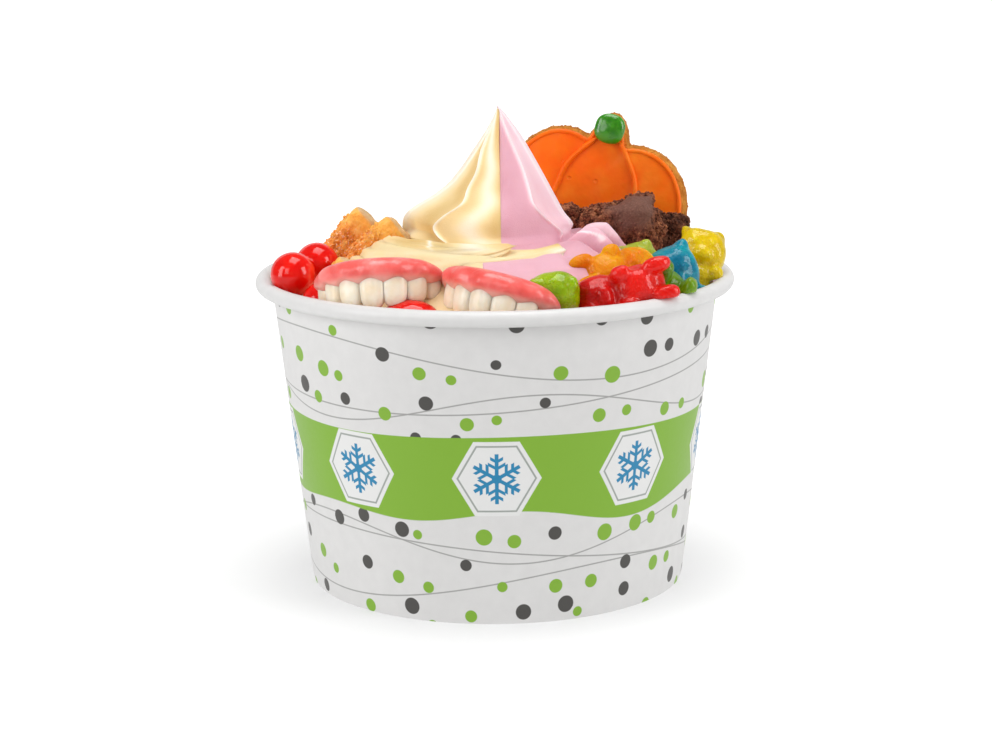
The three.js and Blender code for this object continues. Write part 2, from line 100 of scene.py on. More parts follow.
def maths(operation, turned=False):
    """A method that adds a Math node for a value and what it is given."""

    def add_node(one, *others):
        values = [*others, one] if turned else [one, *others]
        return one.nodes.node("ShaderNodeMath", *values, operation=operation)

    return add_node


class Value:
    """What a node gives. Sums on it in Python add Math nodes."""

    def __init__(self, nodes, socket):
        self.nodes = nodes
        self.socket = socket

    __add__ = __radd__ = maths("ADD")
    __sub__ = maths("SUBTRACT")
    __rsub__ = maths("SUBTRACT", turned=True)
    __mul__ = __rmul__ = maths("MULTIPLY")
    __truediv__ = maths("DIVIDE")
    __abs__ = maths("ABSOLUTE")
    sine = maths("SINE")
    cosine = maths("COSINE")
    arctan2 = maths("ARCTAN2")
    floor = maths("FLOOR")
    root = maths("SQRT")
    power = maths("POWER")
    greater = maths("MAXIMUM")

    def step(self, edge, blur):
        """0 below the edge and 1 above it, over a short blur; a negative blur turns it round."""
        past = (self - edge) / blur
        return self.nodes.node("ShaderNodeMath", past, 0.5, operation="ADD", use_clamp=True)

    def parts(self):
        split = self.nodes.node("ShaderNodeSeparateXYZ", self)
        return [Value(self.nodes, output) for output in split.socket.node.outputs]


def rgb(code):
    """A hex colour as the linear colour that a socket takes."""
    bands = [int(code[i : i + 2], 16) / 255 for i in (0, 2, 4)]
    return tuple(v / 12.92 if v < 0.04045 else ((v + 0.055) / 1.055) ** 2.4 for v in bands) + (1,)


class Finish(Nodes):
    """A material: a Principled shader with its even values, and the nodes that feed the rest."""

    def __init__(self, name, soft=None, **even):
        """Soft is how much light runs through the piece, and how far for each colour, in mm."""
        self.material = bpy.data.materials.new(name)
        self.material.use_nodes = True
        self.tree = self.material.node_tree
        self.shader = self.tree.nodes["Principled BSDF"]
        if soft:
            even["Subsurface_Weight"], even["Subsurface_Radius"], mm = soft
            even["Subsurface_Scale"] = mm * MM
        self.feed(**even)
        place = self.node("ShaderNodeTexCoord", output="Object")
        self.here = self.node("ShaderNodeVectorMath", place, operation="SCALE", Scale=1 / MM)

    def feed(self, **sockets):
        for name, value in sockets.items():
            self.join(value, self.shader.inputs[name.replace("_", " ")])

    def look(self, colour, rough, bumps, depth, **others):
        """Feeds a colour, a roughness, and bumps of so many millimetres for a height of 1."""
        relief = self.node("ShaderNodeBump", Height=bumps, Distance=depth * MM)
        self.feed(Base_Color=colour, Roughness=rough, Normal=relief, **others)

    def grain(self, per_mm, detail=2.0, rough=0.5, warp=0.0):
        """Noise from 0 to 1, so many lumps to the millimetre."""
        ways = {"Detail": detail, "Roughness": rough, "Distortion": warp}
        return self.node("ShaderNodeTexNoise", Vector=self.here, Scale=per_mm, **ways)

    def blend(self, share, *colours):
        """From the first colour to the second as the share goes from 0 to 1."""
        pair = [rgb(colour) if isinstance(colour, str) else colour for colour in colours]
        skipped = [None] * 5
        return self.node("ShaderNodeMix", share, *skipped, *pair, output=2, data_type="RGBA")

    def shades(self, value, *stops):
        return self.node("ShaderNodeValToRGB", value, stops=stops)

    def carried(self, name):
        """A number that the mesh carries at each corner."""
        return self.node("ShaderNodeAttribute", output="Fac", attribute_name=name)


def spots(x, y, z):
    """Points from their three places, each stretched to fit the others."""
    return np.stack(np.broadcast_arrays(x, y, z), axis=-1)


def polar(radius, turn, z):
    """Points on circles about the cup's axis. Turns run from the front towards +X."""
    return spots(radius * np.sin(turn), -radius * np.cos(turn), z)


def all_round(count):
    """So many even turns, once round."""
    return np.linspace(0, TAU, count, endpoint=False)


def put(name, data):
    """A new object in the scene."""
    made = bpy.data.objects.new(name, data)
    bpy.context.scene.collection.objects.link(made)
    return made


def faired(mesh):
    """Merges a mesh's doubles, points every face outwards and shades it smooth."""
    shape = bmesh.new()
    shape.from_mesh(mesh)
    bmesh.ops.remove_doubles(shape, verts=shape.verts, dist=1e-6)
    bmesh.ops.dissolve_degenerate(shape, edges=shape.edges, dist=1e-7)
    bmesh.ops.recalc_face_normals(shape, faces=shape.faces)
    shape.to_mesh(mesh)
    shape.free()
    smoothed(mesh)


def smoothed(mesh):
    """Shades a mesh smooth."""
    mesh.polygons.foreach_set("use_smooth", [True] * len(mesh.polygons))


def drawn(name, points, edges, faces=()):
    """An object of points in millimetres, with the edges or faces between them."""
    mesh = bpy.data.meshes.new(name)
    mesh.from_pydata((np.asarray(points) * MM).tolist(), edges, faces)
    if faces:
        faired(mesh)
    return put(name, mesh)


def wire(name, points, closed=False):
    """Points joined in a line, for a tree to take as a curve."""
    count = len(points)
    edges = [(i, (i + 1) % count) for i in range(count if closed else count - 1)]
    return drawn(name, points, edges)


def skin(name, points):
    """A closed mesh over rows by columns of points, round its columns and shut at its end rows."""
    rows, columns = points.shape[:2]
    i, j = np.meshgrid(np.arange(rows - 1), np.arange(columns), indexing="ij")
    k = (j + 1) % columns
    quads = [i * columns + j, i * columns + k, (i + 1) * columns + k, (i + 1) * columns + j]
    faces = np.stack(quads, axis=-1).reshape(-1, 4).tolist()
    vertices = points.reshape(-1, 3)
    for row, turned in ((0, True), (rows - 1, False)):
        middle = len(vertices)
        vertices = np.vstack([vertices, points[row].mean(axis=0)])
        for a in range(columns):
            pair = [row * columns + a, row * columns + (a + 1) % columns]
            faces.append([middle, *(reversed(pair) if turned else pair)])
    return drawn(name, vertices, [], faces)


def serve(piece, finish, node):
    """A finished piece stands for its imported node."""
    piece.data.materials.clear()
    piece.data.materials.append(finish.material)
    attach(piece, "root")
    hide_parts(node)


def outside(z):
    """The wall's outer radius at a height."""
    return FOOT_RADIUS + WALL_SLOPE * z


def arc(middle, radius, start, end, steps):
    """[radius, height] points along an arc, from one angle in degrees to another."""
    angles = np.radians(np.linspace(start, end, steps))
    return np.array(middle) + radius * np.stack([np.cos(angles), np.sin(angles)], axis=-1)


def board_section(path):
    """Both faces of the board along a path of [radius, height] points, as one closed outline."""
    along = np.diff(path, axis=0)
    along /= np.linalg.norm(along, axis=1)[:, None]
    normals = np.stack([-along[:, 1], along[:, 0]], axis=-1)
    before = np.vstack([normals[:1], normals])
    after = np.vstack([normals, normals[-1:]])
    mitre = (before + after) / (1 + (before * after).sum(axis=1))[:, None] * BOARD / 2
    return np.vstack([path + mitre, (path - mitre)[::-1]])


fold_radius = BOARD + GAP
fold_middle = FOOT_RADIUS - BOARD / 2 - fold_radius
inner_edge = [fold_middle - fold_radius + WALL_SLOPE * FOLD_HEIGHT, FOLD_HEIGHT]
fold = arc((fold_middle, BOARD / 2 + fold_radius), fold_radius, 180, 360, steps=13)
heights = np.linspace(FOLD_CLEARED, CURL_FOOT, 24)
straight = np.stack([outside(heights) - BOARD / 2, heights], axis=-1)
curl_middle = (RIM_RADIUS - CURL_RADIUS, CUP_HEIGHT - CURL_RADIUS)
curl = arc(curl_middle, CURL_RADIUS - BOARD / 2, 180, -128, steps=30)
section = board_section(np.vstack([[inner_edge], fold, straight, curl]))


class Recipe(Nodes):
    """A Geometry Nodes tree with named inputs. It ends in Realize Instances and Set Material."""

    def __init__(self, name, **sizes):
        self.tree = bpy.data.node_groups.new(name, "GeometryNodeTree")
        self.socket("Geometry", "Geometry")
        self.socket("Geometry", "Geometry", "OUTPUT")
        for label, value in sizes.items():
            kind = "Int" if isinstance(value, int) else "Float"
            self.socket(label.replace("_", " "), kind).default_value = value
        self.socket("Finish", "Material")
        self.entry = self.tree.nodes.new("NodeGroupInput")

    def socket(self, label, kind, side="INPUT"):
        face = self.tree.interface
        return face.new_socket(label, in_out=side, socket_type="NodeSocket" + kind)

    def __getitem__(self, label):
        """One of the tree's inputs."""
        return Value(self, self.entry.outputs[label])

    def end(self, geometry):
        whole = self.node("GeometryNodeRealizeInstances", geometry)
        painted = self.node("GeometryNodeSetMaterial", whole, Material=self["Finish"])
        self.join(painted, self.tree.nodes.new("NodeGroupOutput").inputs[0])

    def work(self, piece, finish, **sizes):
        """Runs the tree on a piece, and leaves it a plain mesh."""
        modifier = piece.modifiers.new(self.tree.name, "NODES")
        modifier.node_group = self.tree
        sizes["Finish"] = finish.material
        for item in self.tree.interface.items_tree:
            label = item.name.replace(" ", "_")
            if label in sizes:
                modifier[item.identifier] = sizes[label]
        settle(piece)


def settle(piece):
    """Works a piece's modifiers out to a plain mesh."""
    graph = bpy.context.evaluated_depsgraph_get()
    mesh = bpy.data.meshes.new_from_object(piece.evaluated_get(graph))
    piece.modifiers.clear()
    piece.data = mesh


def span(across, along):
    """The length of two distances at right angles."""
    return (across * across + along * along).root()


# The board wound round: its section is swept about the axis, and the lap stands proud at the back.
SWEEP_RADIUS = 1 / MM

winding = Recipe("winding", Segments=256, Lap_Angle=0.15, Lap_Height=0.0003)
ring = winding.node(
    "GeometryNodeCurvePrimitiveCircle", mode="RADIUS", Resolution=winding["Segments"], Radius=1.0
)
level = winding.node("GeometryNodeSetCurveNormal", ring, mode="Z_UP")
profile = winding.node("GeometryNodeMeshToCurve", winding["Geometry"])
swept = winding.node("GeometryNodeCurveToMesh", Curve=level, Profile_Curve=profile)
spot = winding.node("GeometryNodeInputPosition")
east, north, rise = spot.parts()
back_turn = east.arctan2(north)
lap = back_turn.step(0, -0.004) * back_turn.step(winding["Lap Angle"] * -1, 0.03)
outer_radius = (FOOT_RADIUS - BOARD / 2) * MM
outer_face = (span(east, north) - rise * WALL_SLOPE).step(outer_radius, 0.0002)
lift = 1 + lap * outer_face * winding["Lap Height"] / (outside(40) * MM)
scaling = winding.node("ShaderNodeCombineXYZ", lift, lift, 1.0)
lifted = winding.node("ShaderNodeVectorMath", spot, scaling, operation="MULTIPLY")
winding.end(winding.node("GeometryNodeSetPosition", swept, Position=lifted))

wound_wall = wire("wound_wall", spots(section[:, 0] - SWEEP_RADIUS, -section[:, 1], 0), closed=True)

# The print: a green band with a wavy lower edge, white six-sided medallions with a blue snow
# crystal, thin grey lines that wave round and cross, and dots scattered between them.
BAND_TOP = 45.2
BAND_FOOT = 26.5
BAND_MIDDLE = 36
MEDALLIONS = 9
MEDALLION_REACH = 8.6
EDGING_INSET = 1.1
CRYSTAL_REACH = 5.8
CRYSTAL_HUB = 1.1
CRYSTAL_TWIGS = ((2.4, 1.9), (4.0, 1.4))  # how far out each pair is, and how long
ARM_HALF_WIDTH = 0.42
TWIG_HALF_WIDTH = 0.34
THREAD_HALF_WIDTH = 0.16
DOT_SPACING = 9.5
DOT_RADII = (1.1, 0.9)  # the least, and how much more the largest has
SIXTH = TAU / 6
# The grey lines: height, swing, waves round the cup, start.
THREADS = ((10, 4.5, 2, 0.3), (16, 5.5, 1, 2.6), (20, 4, 3, 4.4))
THREADS += ((51, 4, 3, 1), (55, 5, 1, 5.4), (62, 4.5, 2, 3.6))

printed = Finish("printed_board", IOR=1.46, Coat_Weight=0.15, Coat_Roughness=0.3)
across, back, up = printed.here.parts()
turn = across.arctan2(back * -1)
mean_radius = outside(BAND_MIDDLE)
along = turn * mean_radius


def within(value, reach, blur=0.12):
    """1 where a distance is under a reach."""
    return value.step(reach, -blur)


def to_nearest(value, spacing):
    """How far a value is from the nearest of many even steps."""
    share = value / spacing + 0.5
    return abs(share - share.floor() - 0.5) * spacing


wave = (turn * 6 + 0.6).sine() * 1.3 + (turn * 4 + 2).sine() * 0.9
band = up.step(BAND_FOOT + wave, 0.2) * within(up, BAND_TOP + (turn * 3 + 1).sine() * 0.5)

beside = to_nearest(along, TAU * mean_radius / MEDALLIONS)
above = abs(up - BAND_MIDDLE)
six_sided = (beside * math.cos(SIXTH / 2) + above * math.sin(SIXTH / 2)).greater(above)
medallion = within(six_sided, MEDALLION_REACH)
edging = within(abs(six_sided - (MEDALLION_REACH - EDGING_INSET)), 0.2)

reach = span(beside, above)
aside = to_nearest(beside.arctan2(above), SIXTH)
out = reach * aside.cosine()
off = reach * aside.sine()
arms = within(off, ARM_HALF_WIDTH) * within(out, CRYSTAL_REACH)
crystal = arms.greater(within(reach, CRYSTAL_HUB))
for root, length in CRYSTAL_TWIGS:
    from_twig = abs((out - root) * math.sin(SIXTH) - off * math.cos(SIXTH))
    crystal = crystal.greater(within(from_twig, TWIG_HALF_WIDTH) * within(off, length))

flat_print = printed.node("ShaderNodeCombineXYZ", X=along, Y=up)
to_dot, lots = (
    printed.node(
        "ShaderNodeTexVoronoi",
        output=output,
        voronoi_dimensions="2D",
        Vector=flat_print,
        Scale=1 / DOT_SPACING,
        Randomness=0.75,
    )
    for output in ("Distance", "Color")
)
lot, other_lot, _ = lots.parts()
dots = within(to_dot * DOT_SPACING, DOT_RADII[0] + lot * DOT_RADII[1])

threads = None
for middle, swing, waves, start in THREADS:
    from_thread = abs(up - middle - (turn * waves + start).sine() * swing)
    thread = within(from_thread, THREAD_HALF_WIDTH)
    threads = threads.greater(thread) if threads else thread

bare = printed.shades(printed.grain(0.35, detail=5), (0.3, "d8d7d6"), (0.7, "dcdbda"))
colour = bare
for mask, paint in (
    (threads * 0.75, "82827f"),
    (dots, printed.blend(other_lot.step(0.5, 0.01), "7fae2a", "454340")),
    (band, "7eae26"),
    (medallion, "e3e3e2"),
    (edging * medallion, "9aa09a"),
    (crystal * medallion, "1180ad"),
):
    colour = printed.blend(mask, colour, paint)
is_outer = (span(across, back) - up * WALL_SLOPE).step(FOOT_RADIUS - BOARD / 2, 0.1)
under_curl = within(up, CURL_FOOT - 0.3)
printed.look(
    colour=printed.blend(is_outer * under_curl, bare, colour),
    rough=0.34 + 0.14 * printed.grain(0.9, detail=4),
    bumps=printed.grain(1.4, detail=5, rough=0.6),
    depth=0.01,
)
winding.work(wound_wall, printed, Segments=256)
faired(wound_wall.data)
serve(wound_wall, printed, "cup_wall")

# -------- the cup's bottom
# A pressed disc of the same board, plain inside and out. Its skirt is turned down and crimped
# between the wall and the wall's fold, which leaves the disc a few millimetres above the table.

BASE_HEIGHT = 7
CRIMPS = 120
CRIMP_DEPTH = 0.05
FLAT_RADIUS = 40
SKIRT_TOP = BASE_HEIGHT + BOARD
SKIRT_FOOT = 2 * (BOARD + GAP)


def room_at(z):
    """How far out a piece may reach that fits in the wall."""
    return outside(z) - BOARD - GAP


bottom_section = np.array(
    [
        (0, BASE_HEIGHT),
        *((r, BASE_HEIGHT - 0.5 * (r / FLAT_RADIUS) ** 8) for r in np.linspace(4, FLAT_RADIUS, 10)),
        (room_at(6) - BOARD, 5.6),
        (room_at(SKIRT_FOOT) - BOARD, SKIRT_FOOT),
        (room_at(SKIRT_FOOT), SKIRT_FOOT),
        (room_at(6.6), 6.6),
        (room_at(7.2) - 0.3, 7.35),
        (42, SKIRT_TOP),
        *((r, SKIRT_TOP) for r in np.linspace(FLAT_RADIUS, 0, 11)),
    ]
)
turns = all_round(2 * CRIMPS)
crimp = CRIMP_DEPTH * np.cos(turns * CRIMPS) * (bottom_section[:, :1] > FLAT_RADIUS + 1)
crimped = polar(bottom_section[:, :1] - crimp, turns, bottom_section[:, 1:])
pressed_bottom = skin("pressed_bottom", crimped)
plain = Finish("plain_board", IOR=1.46, Coat_Weight=0.15, Coat_Roughness=0.3)
plain.look(
    colour=plain.shades(plain.grain(0.35, detail=5), (0.3, "d8d7d5"), (0.7, "dedddb")),
    rough=0.45 + 0.15 * plain.grain(0.9, detail=4),
    bumps=plain.grain(1.4, detail=5, rough=0.6),
    depth=0.015,
)
serve(pressed_bottom, plain, "cup_bottom")

# -------- the frozen yogurt
# Two flavours pressed side by side from one star nozzle, yellow on the left and pink on the right:
# a bed that fills the cup, a coil on it, and a cone pulled up to a point between sharp creases.
# A strip of the yellow is wrapped round the cone's foot and torn off at the right.

FILL_HEIGHT = 68
COIL_HEIGHT = 81.5
CONE_FOOT = 83
CONE_TIP = 113
CONE_LEFT_RADIUS = 20.6
CONE_RIGHT_RADIUS = 18
CONE_SPLIT = 1.6  # how far right of the axis the flavours meet
COIL_SPLIT = -2.6
LOBE_TURN = math.radians(78)  # the coil's thick end, at the right
PLEAT_TURN = math.radians(62)
CONE_SHARES = np.linspace(0, 1, 140)
BED_SHARES = np.linspace(0, 1, 110)
SPAN_COLUMNS = 46
SPLIT_COLUMNS = 20
STRIP_ROWS = 130
STRIP_COLUMNS = 56

# Where each crease runs on the cone: its turn in degrees by its share of the cone's height. The
# first of each flavour is the ridge that shows in front.
LEFT_RIDGE = ((0, -30), (0.05, -37), (0.12, -43), (0.2, -40), (0.3, -31))
LEFT_RIDGE += ((0.4, -34), (0.53, -32), (0.68, -40), (0.86, -44), (1, -40))
RIGHT_RIDGE = ((0, 56), (0.05, 57), (0.12, 51), (0.2, 43), (0.28, 38))
RIGHT_RIDGE += ((0.38, 40), (0.53, 42), (0.68, 40), (0.86, 34), (1, 30))
LEFT_HIND = ((0, -96), (0.3, -84), (0.6, -80), (1, -90)), ((0, -140), (0.4, -130), (1, -128))
RIGHT_HIND = ((0, 98), (0.4, 90), (1, 92)), ((0, 142), (0.5, 138), (1, 140))
LEFT_CREASES = (LEFT_RIDGE, *LEFT_HIND)
RIGHT_CREASES = (RIGHT_RIDGE, *RIGHT_HIND)
# The bed's outline from the bottom disc up: share of the way, radius, height.
BED_OUTLINE = ((0, 0.5, 7.9), (0.06, 30, 7.9), (0.1, 44.1, 7.9), (0.12, 44.3, 8.2))
BED_OUTLINE += ((0.38, room_at(FILL_HEIGHT), FILL_HEIGHT), (0.44, 46, 69.8))
BED_OUTLINE += ((0.52, 41, 72.8), (0.6, 37, 76), (0.69, 34, 79), (0.77, 31, COIL_HEIGHT - 1))
BED_OUTLINE += ((0.85, 27.5, COIL_HEIGHT), (0.93, 23.5, COIL_HEIGHT), (1, 19.2, COIL_HEIGHT - 0.2))


def through(stops, at):
    """A smooth line through (place, value) stops."""
    places, values = np.array(stops, float).T
    slopes = np.gradient(values, places)
    i = np.clip(np.searchsorted(places, at) - 1, 0, len(places) - 2)
    gap = places[i + 1] - places[i]
    t = np.clip((at - places[i]) / gap, 0, 1)
    lead = (1 - t) ** 2 * ((1 + 2 * t) * values[i] + t * gap * slopes[i])
    return lead + t**2 * ((3 - 2 * t) * values[i + 1] - (1 - t) * gap * slopes[i + 1])


def smooth(value, start, end):
    """0 before the start and 1 past the end, with a soft slope between."""
    t = np.clip((value - start) / (end - start), 0, 1)
    return t * t * (3 - 2 * t)


def bump(value, centre, width):
    """1 at the centre, and less on both sides."""
    return np.exp(-(((value - centre) / width) ** 2))


def cone_point(s, turn, lip=0, hollow=0):
    """A point of the cone: broad-shouldered on the left, straighter on the right."""
    left = CONE_LEFT_RADIUS * (1 - s) ** 1.35 + 4 * bump(s, 0.18, 0.14)
    right = CONE_RIGHT_RADIUS * (1 - s) ** 0.88
    radius = left + (right - left) * (0.5 + 0.5 * np.sin(turn))
    radius = radius + 0.8 * bump(s, 0.075, 0.06) * smooth(np.sin(turn), 0.5, 0.95)
    radius = radius * (1 - hollow) + lip * np.minimum(1, radius / 5)
    point = polar(np.maximum(radius, 0.06), turn, CONE_FOOT + (CONE_TIP - CONE_FOOT) * s)
    point[..., 0] += s
    return point


def bed_point(b, turn):
    """A point of the bed: from the bottom disc out to the wall, and over the heap to the coil."""
    shares, radii, heights = np.transpose(BED_OUTLINE)
    over = smooth(b, 0.4, 0.46)
    up = np.clip((b - 0.38) / 0.62, 0, 1)
    swell = 1.1 * np.sin(turn * 2 + 0.6) + 0.5 * np.sin(turn * 9 + up * 3)
    radius = np.interp(b, shares, radii) + np.sin(math.pi * up) * swell
    thick = 4.6 * smooth(up, 0.7, 0.85) * (1 - 0.5 * smooth(up, 0.93, 1)) - 1.2 * smooth(up, 0.3, 0.5)
    height = np.interp(b, shares, heights) + over * bump(turn, LOBE_TURN, 0.62) * thick
    height = height + over * 1.5 * np.cos(turn) * (1 - up)
    pleats = 2 * np.abs(np.sin(turn * 12 + up * 3 + 0.6 * np.sin(turn * 5))) ** 0.8 - 1
    pleats = pleats * over * (bump(turn, PLEAT_TURN, 0.42) + 0.3 * bump(abs(turn), 2.6, 0.6))
    radius = radius + 2.6 * pleats * smooth(up, 0.3, 0.6) * (1 - smooth(up, 0.88, 1))
    height = height + 2.1 * pleats * smooth(up, 0.45, 0.75) * (1 - smooth(up, 0.9, 1))
    on_left = np.maximum(-np.sin(turn), 0)
    folds = over * np.sin(up * 34 + 2 * turn + np.sin(turn * 3)) * smooth(up, 0.35, 0.6)
    height = height + 0.4 * on_left * folds * (1 - smooth(up, 0.88, 1))
    return polar(radius + (0.16 + 0.5 * on_left) * folds, turn, height)


def meeting(outline, split):
    """The turns in front and behind at which an outline crosses the sheet between the flavours."""
    probe = np.linspace(-math.pi, math.pi, 361)
    off = outline(probe)[:, 0] - split
    i = 90 + np.argmax(off[90:271] > 0)
    in_front = np.interp(0, off[i - 1 : i + 1], probe[i - 1 : i + 1]) if off[i] > 0 else 0
    probe, off = np.append(probe[271:], probe[1:90] + TAU), -np.append(off[271:], off[1:90])
    i = np.argmax(off >= 0)
    return in_front, np.interp(0, off[i - 1 : i + 1], probe[i - 1 : i + 1]) if i else math.pi


def creased(keys):
    """Turns from crease to crease, with how hollow the cone is there and how its creases stand."""
    turns, hollows, lips = [], [], []
    for number, (start, end) in enumerate(zip(keys, keys[1:])):
        u = np.linspace(0, 1, SPAN_COLUMNS, endpoint=False)
        t = u + 0.7 * (smooth(u, 0, 1) - u)
        near = np.stack([t, 1 - t]) * abs(end - start) * 14
        crest = 0.55 * np.exp(-((near / 0.35) ** 2)) + 0.22 * np.exp(-near / 1.1)
        groove = -1.2 * np.exp(-near[0] / 1.5)
        turns += [*(start + (end - start) * t)]
        depth = (1.04 - math.cos((end - start) / 2)) * (1 if number else 0.4)
        hollows += [*(depth * np.sin(math.pi * t) ** 0.8)]
        lips += [*(crest[1] + (crest[0] if number else groove))]
    return np.array([*turns, keys[-1]]), np.array([*hollows, 0]), np.array([*lips, lips[-1]])


def flavour(name, creases, from_front):
    """One flavour: the mass on its side of the sheet where the two meet."""
    rows = []
    for on_cone, place in [(False, b) for b in BED_SHARES] + [(True, s) for s in CONE_SHARES]:
        s = place if on_cone else 0
        blended = 1 if on_cone else smooth(place, 0.8, 0.95)
        level = cone_point if on_cone else bed_point
        split = COIL_SPLIT + (CONE_SPLIT - COIL_SPLIT) * blended
        in_front, behind = meeting(lambda turn: level(place, turn), split)
        along = [math.radians(through(crease, s)) for crease in creases]
        turns, hollows, lips = creased([in_front, *along, behind if from_front else behind - TAU])
        if on_cone:
            start = smooth(s, 0.0, 0.06)
            row = cone_point(s, turns, lips * start, hollows * (0.35 + 0.65 * start))
        else:
            row = bed_point(place, turns)
            pulled, plain = (np.hypot(*cone_point(0, turns, 0, h)[:, :2].T) for h in (hollows * 0.35, 0))
            row = row + (pulled / plain - 1)[:, None] * smooth(place, 0.93, 1.0) * row * (1, 1, 0)
        chord = np.linspace(row[-1], row[0], SPLIT_COLUMNS + 2)[1:-1]
        rows.append(np.vstack([row, chord]))
    return skin(name, np.array(rows))


def strip(name, start, end, stops):
    """A strip round the cone's foot. Stops are (share, radius, height, half width, half thickness)."""
    along = np.linspace(0, 1, STRIP_ROWS)[:, None]
    around = all_round(STRIP_COLUMNS)
    radius, height, wide, thick = (through(np.array(stops)[:, [0, i]], along) for i in (1, 2, 3, 4))
    close = np.clip((along - 0.975) / 0.025, 0, 1) ** 2
    shut = np.minimum(0.2 + 8 * along, 1) * np.sqrt(np.clip(1 - close, 0.02, 1))
    ripple = 1 + 0.13 * np.sin(around * 6 + along * 9) + 0.07 * np.sin(around * 11 - along * 14)
    r = radius + wide * shut * ripple * np.cos(around)
    z = height + thick * shut * ripple * np.sin(around) - 0.5 * (r - radius)
    turn = np.radians(start + (end - start) * along)
    return skin(name, polar(r, turn + 0.03 * np.sin(around * 2) * close, z))


def together(name, pieces):
    """Several pieces as one smooth mesh."""
    shape = bmesh.new()
    for piece in pieces:
        shape.from_mesh(piece.data)
        bpy.data.objects.remove(piece)
    mesh = bpy.data.meshes.new(name)
    shape.to_mesh(mesh)
    shape.free()
    smoothed(mesh)
    return put(name, mesh)


def carry(piece, name, values):
    """Stores a number at each corner of a mesh, for its material to read."""
    field = piece.data.attributes.new(name, "FLOAT", "POINT")
    field.data.foreach_set("value", np.asarray(values, dtype=np.float32))


def corners(piece):
    """A mesh's corners in millimetres."""
    flat = np.empty(3 * len(piece.data.vertices))
    piece.data.vertices.foreach_get("co", flat)
    return flat.reshape(-1, 3) / MM


def paint_yogurt_light_and_shade(piece, creases, away, painted_bed_level):
    """Painted light and shade on the yogurt, stored at each corner for its colour: a painted highlight
    along the cone's sharp ridges, painted light and shade over the cone's faces, and a painted level on
    the bed.
    """
    x, y, z = corners(piece).T
    s = np.clip((z - CONE_FOOT) / (CONE_TIP - CONE_FOOT), 0, 1)
    turn = np.arctan2(x - s, -y)
    ridges = [np.radians(through(crease, s)) for crease in creases]
    off = np.min([abs(np.angle(np.exp(1j * (turn - ridge)))) for ridge in ridges], axis=0)
    off = off * np.hypot(x, y)
    # Painted highlight along each sharp ridge of the cone.
    crest = np.exp(-((off / 0.5) ** 2)) + 0.3 * np.exp(-off / 2)
    on_cone = smooth(z, CONE_FOOT - 0.5, CONE_FOOT + 1)
    # A painted level of light and shade on the bed and the strips, by their turn.
    painted_bed_level = painted_bed_level(np.degrees(turn))
    # Painted light and shade over the cone's faces, by their turn from the front ridge.
    painted_span_light = away(np.degrees(turn - ridges[0]))
    # The painted light and shade, stored for the yogurt's colour ramp.
    carry(piece, "cream", painted_bed_level + on_cone * (0.6 * crest + painted_span_light - painted_bed_level))


def yogurt(name, *colours):
    """Soft frozen yogurt. Its colour runs from a painted shade through its own colour to a painted
    highlight, by the painted light and shade its mesh carries.
    """
    finish = Finish(name, soft=(0.3, (1.6, 1.2, 0.9), 1.0), IOR=1.38)
    # The painted light and shade the mesh carries, with some tone at random.
    broad = finish.carried("cream") + 0.3 * (finish.grain(0.12, detail=3) - 0.5)
    fine = finish.grain(1.1, detail=4, rough=0.6)
    finish.look(
        colour=finish.shades(broad, *zip((0.05, 0.42, 0.9), colours)),
        rough=0.36 + 0.2 * fine,
        bumps=0.6 * fine + finish.grain(3.2, detail=2),
        depth=0.09,
    )
    return finish


lower_lap = ((0, 27.5, 79.6, 2.6, 1.6), (0.4, 29.5, 80.4, 4, 1.8), (0.7, 29.5, 80.5, 4, 1.8))
lower_lap += ((0.8, 28.4, 80.9, 2.8, 1.5), (0.9, 27.2, 81.3, 2.0, 1.4), (1, 26.2, 81.9, 1.6, 1.6))
upper_lap = ((0, 26, 81.2, 2.4, 1.2), (0.5, 27, 82.4, 2.6, 1.2), (0.85, 27, 82.6, 2.4, 1.1))
upper_lap += ((0.95, 27.2, 83.5, 1.6, 0.8), (1, 27.4, 84.3, 0.5, 0.3))
yellow_mass = flavour("yellow_mass", LEFT_CREASES, from_front=False)
pink_swirl = flavour("pink_swirl", RIGHT_CREASES, from_front=True)
ribbon = [strip("lower", -118, 37, lower_lap), strip("upper", -104, 9, upper_lap)]
yellow_swirl = together("yellow_swirl", [yellow_mass, *ribbon])
paint_yogurt_light_and_shade(
    yellow_swirl,
    LEFT_CREASES,
    # Yellow: painted light mid-way across the front face and towards the left shoulder, painted shade
    # beside the ridge and by the split.
    lambda past: np.where(past > 0, 0.1 + 0.62 * bump(past, 24, 12), 0.08 + 0.5 * smooth(-past, 10, 55)),
    # A paler painted level on the yellow bed to the right of the front.
    lambda turn: 0.46 + 0.35 * smooth(turn, 22, 34),
)
paint_yogurt_light_and_shade(
    pink_swirl,
    RIGHT_CREASES,
    # Pink: painted shade towards the split, painted light right of the front ridge.
    lambda past: 0.12 + 0.45 * smooth(past, -6, 12),
    # Painted shade over the pleats on the pink bed.
    lambda turn: 0.34 - 0.22 * bump(turn, 62, 24),
)
# Each yogurt's colours: a painted shade, its own colour, a painted highlight.
serve(yellow_swirl, yogurt("yellow_yogurt", "dab570", "f3d9a4", "fff6e6"), "yogurt_yellow")
serve(pink_swirl, yogurt("pink_yogurt", "d79dac", "e9b6c4", "fbe8ed"), "yogurt_pink")

# -------- the pumpkin biscuit
# A cut and baked sugar biscuit, stood up in the yogurt behind the cone and leaning a little right.
# Its edge is browned and crumbly, and a plain margin shows all round the icing.

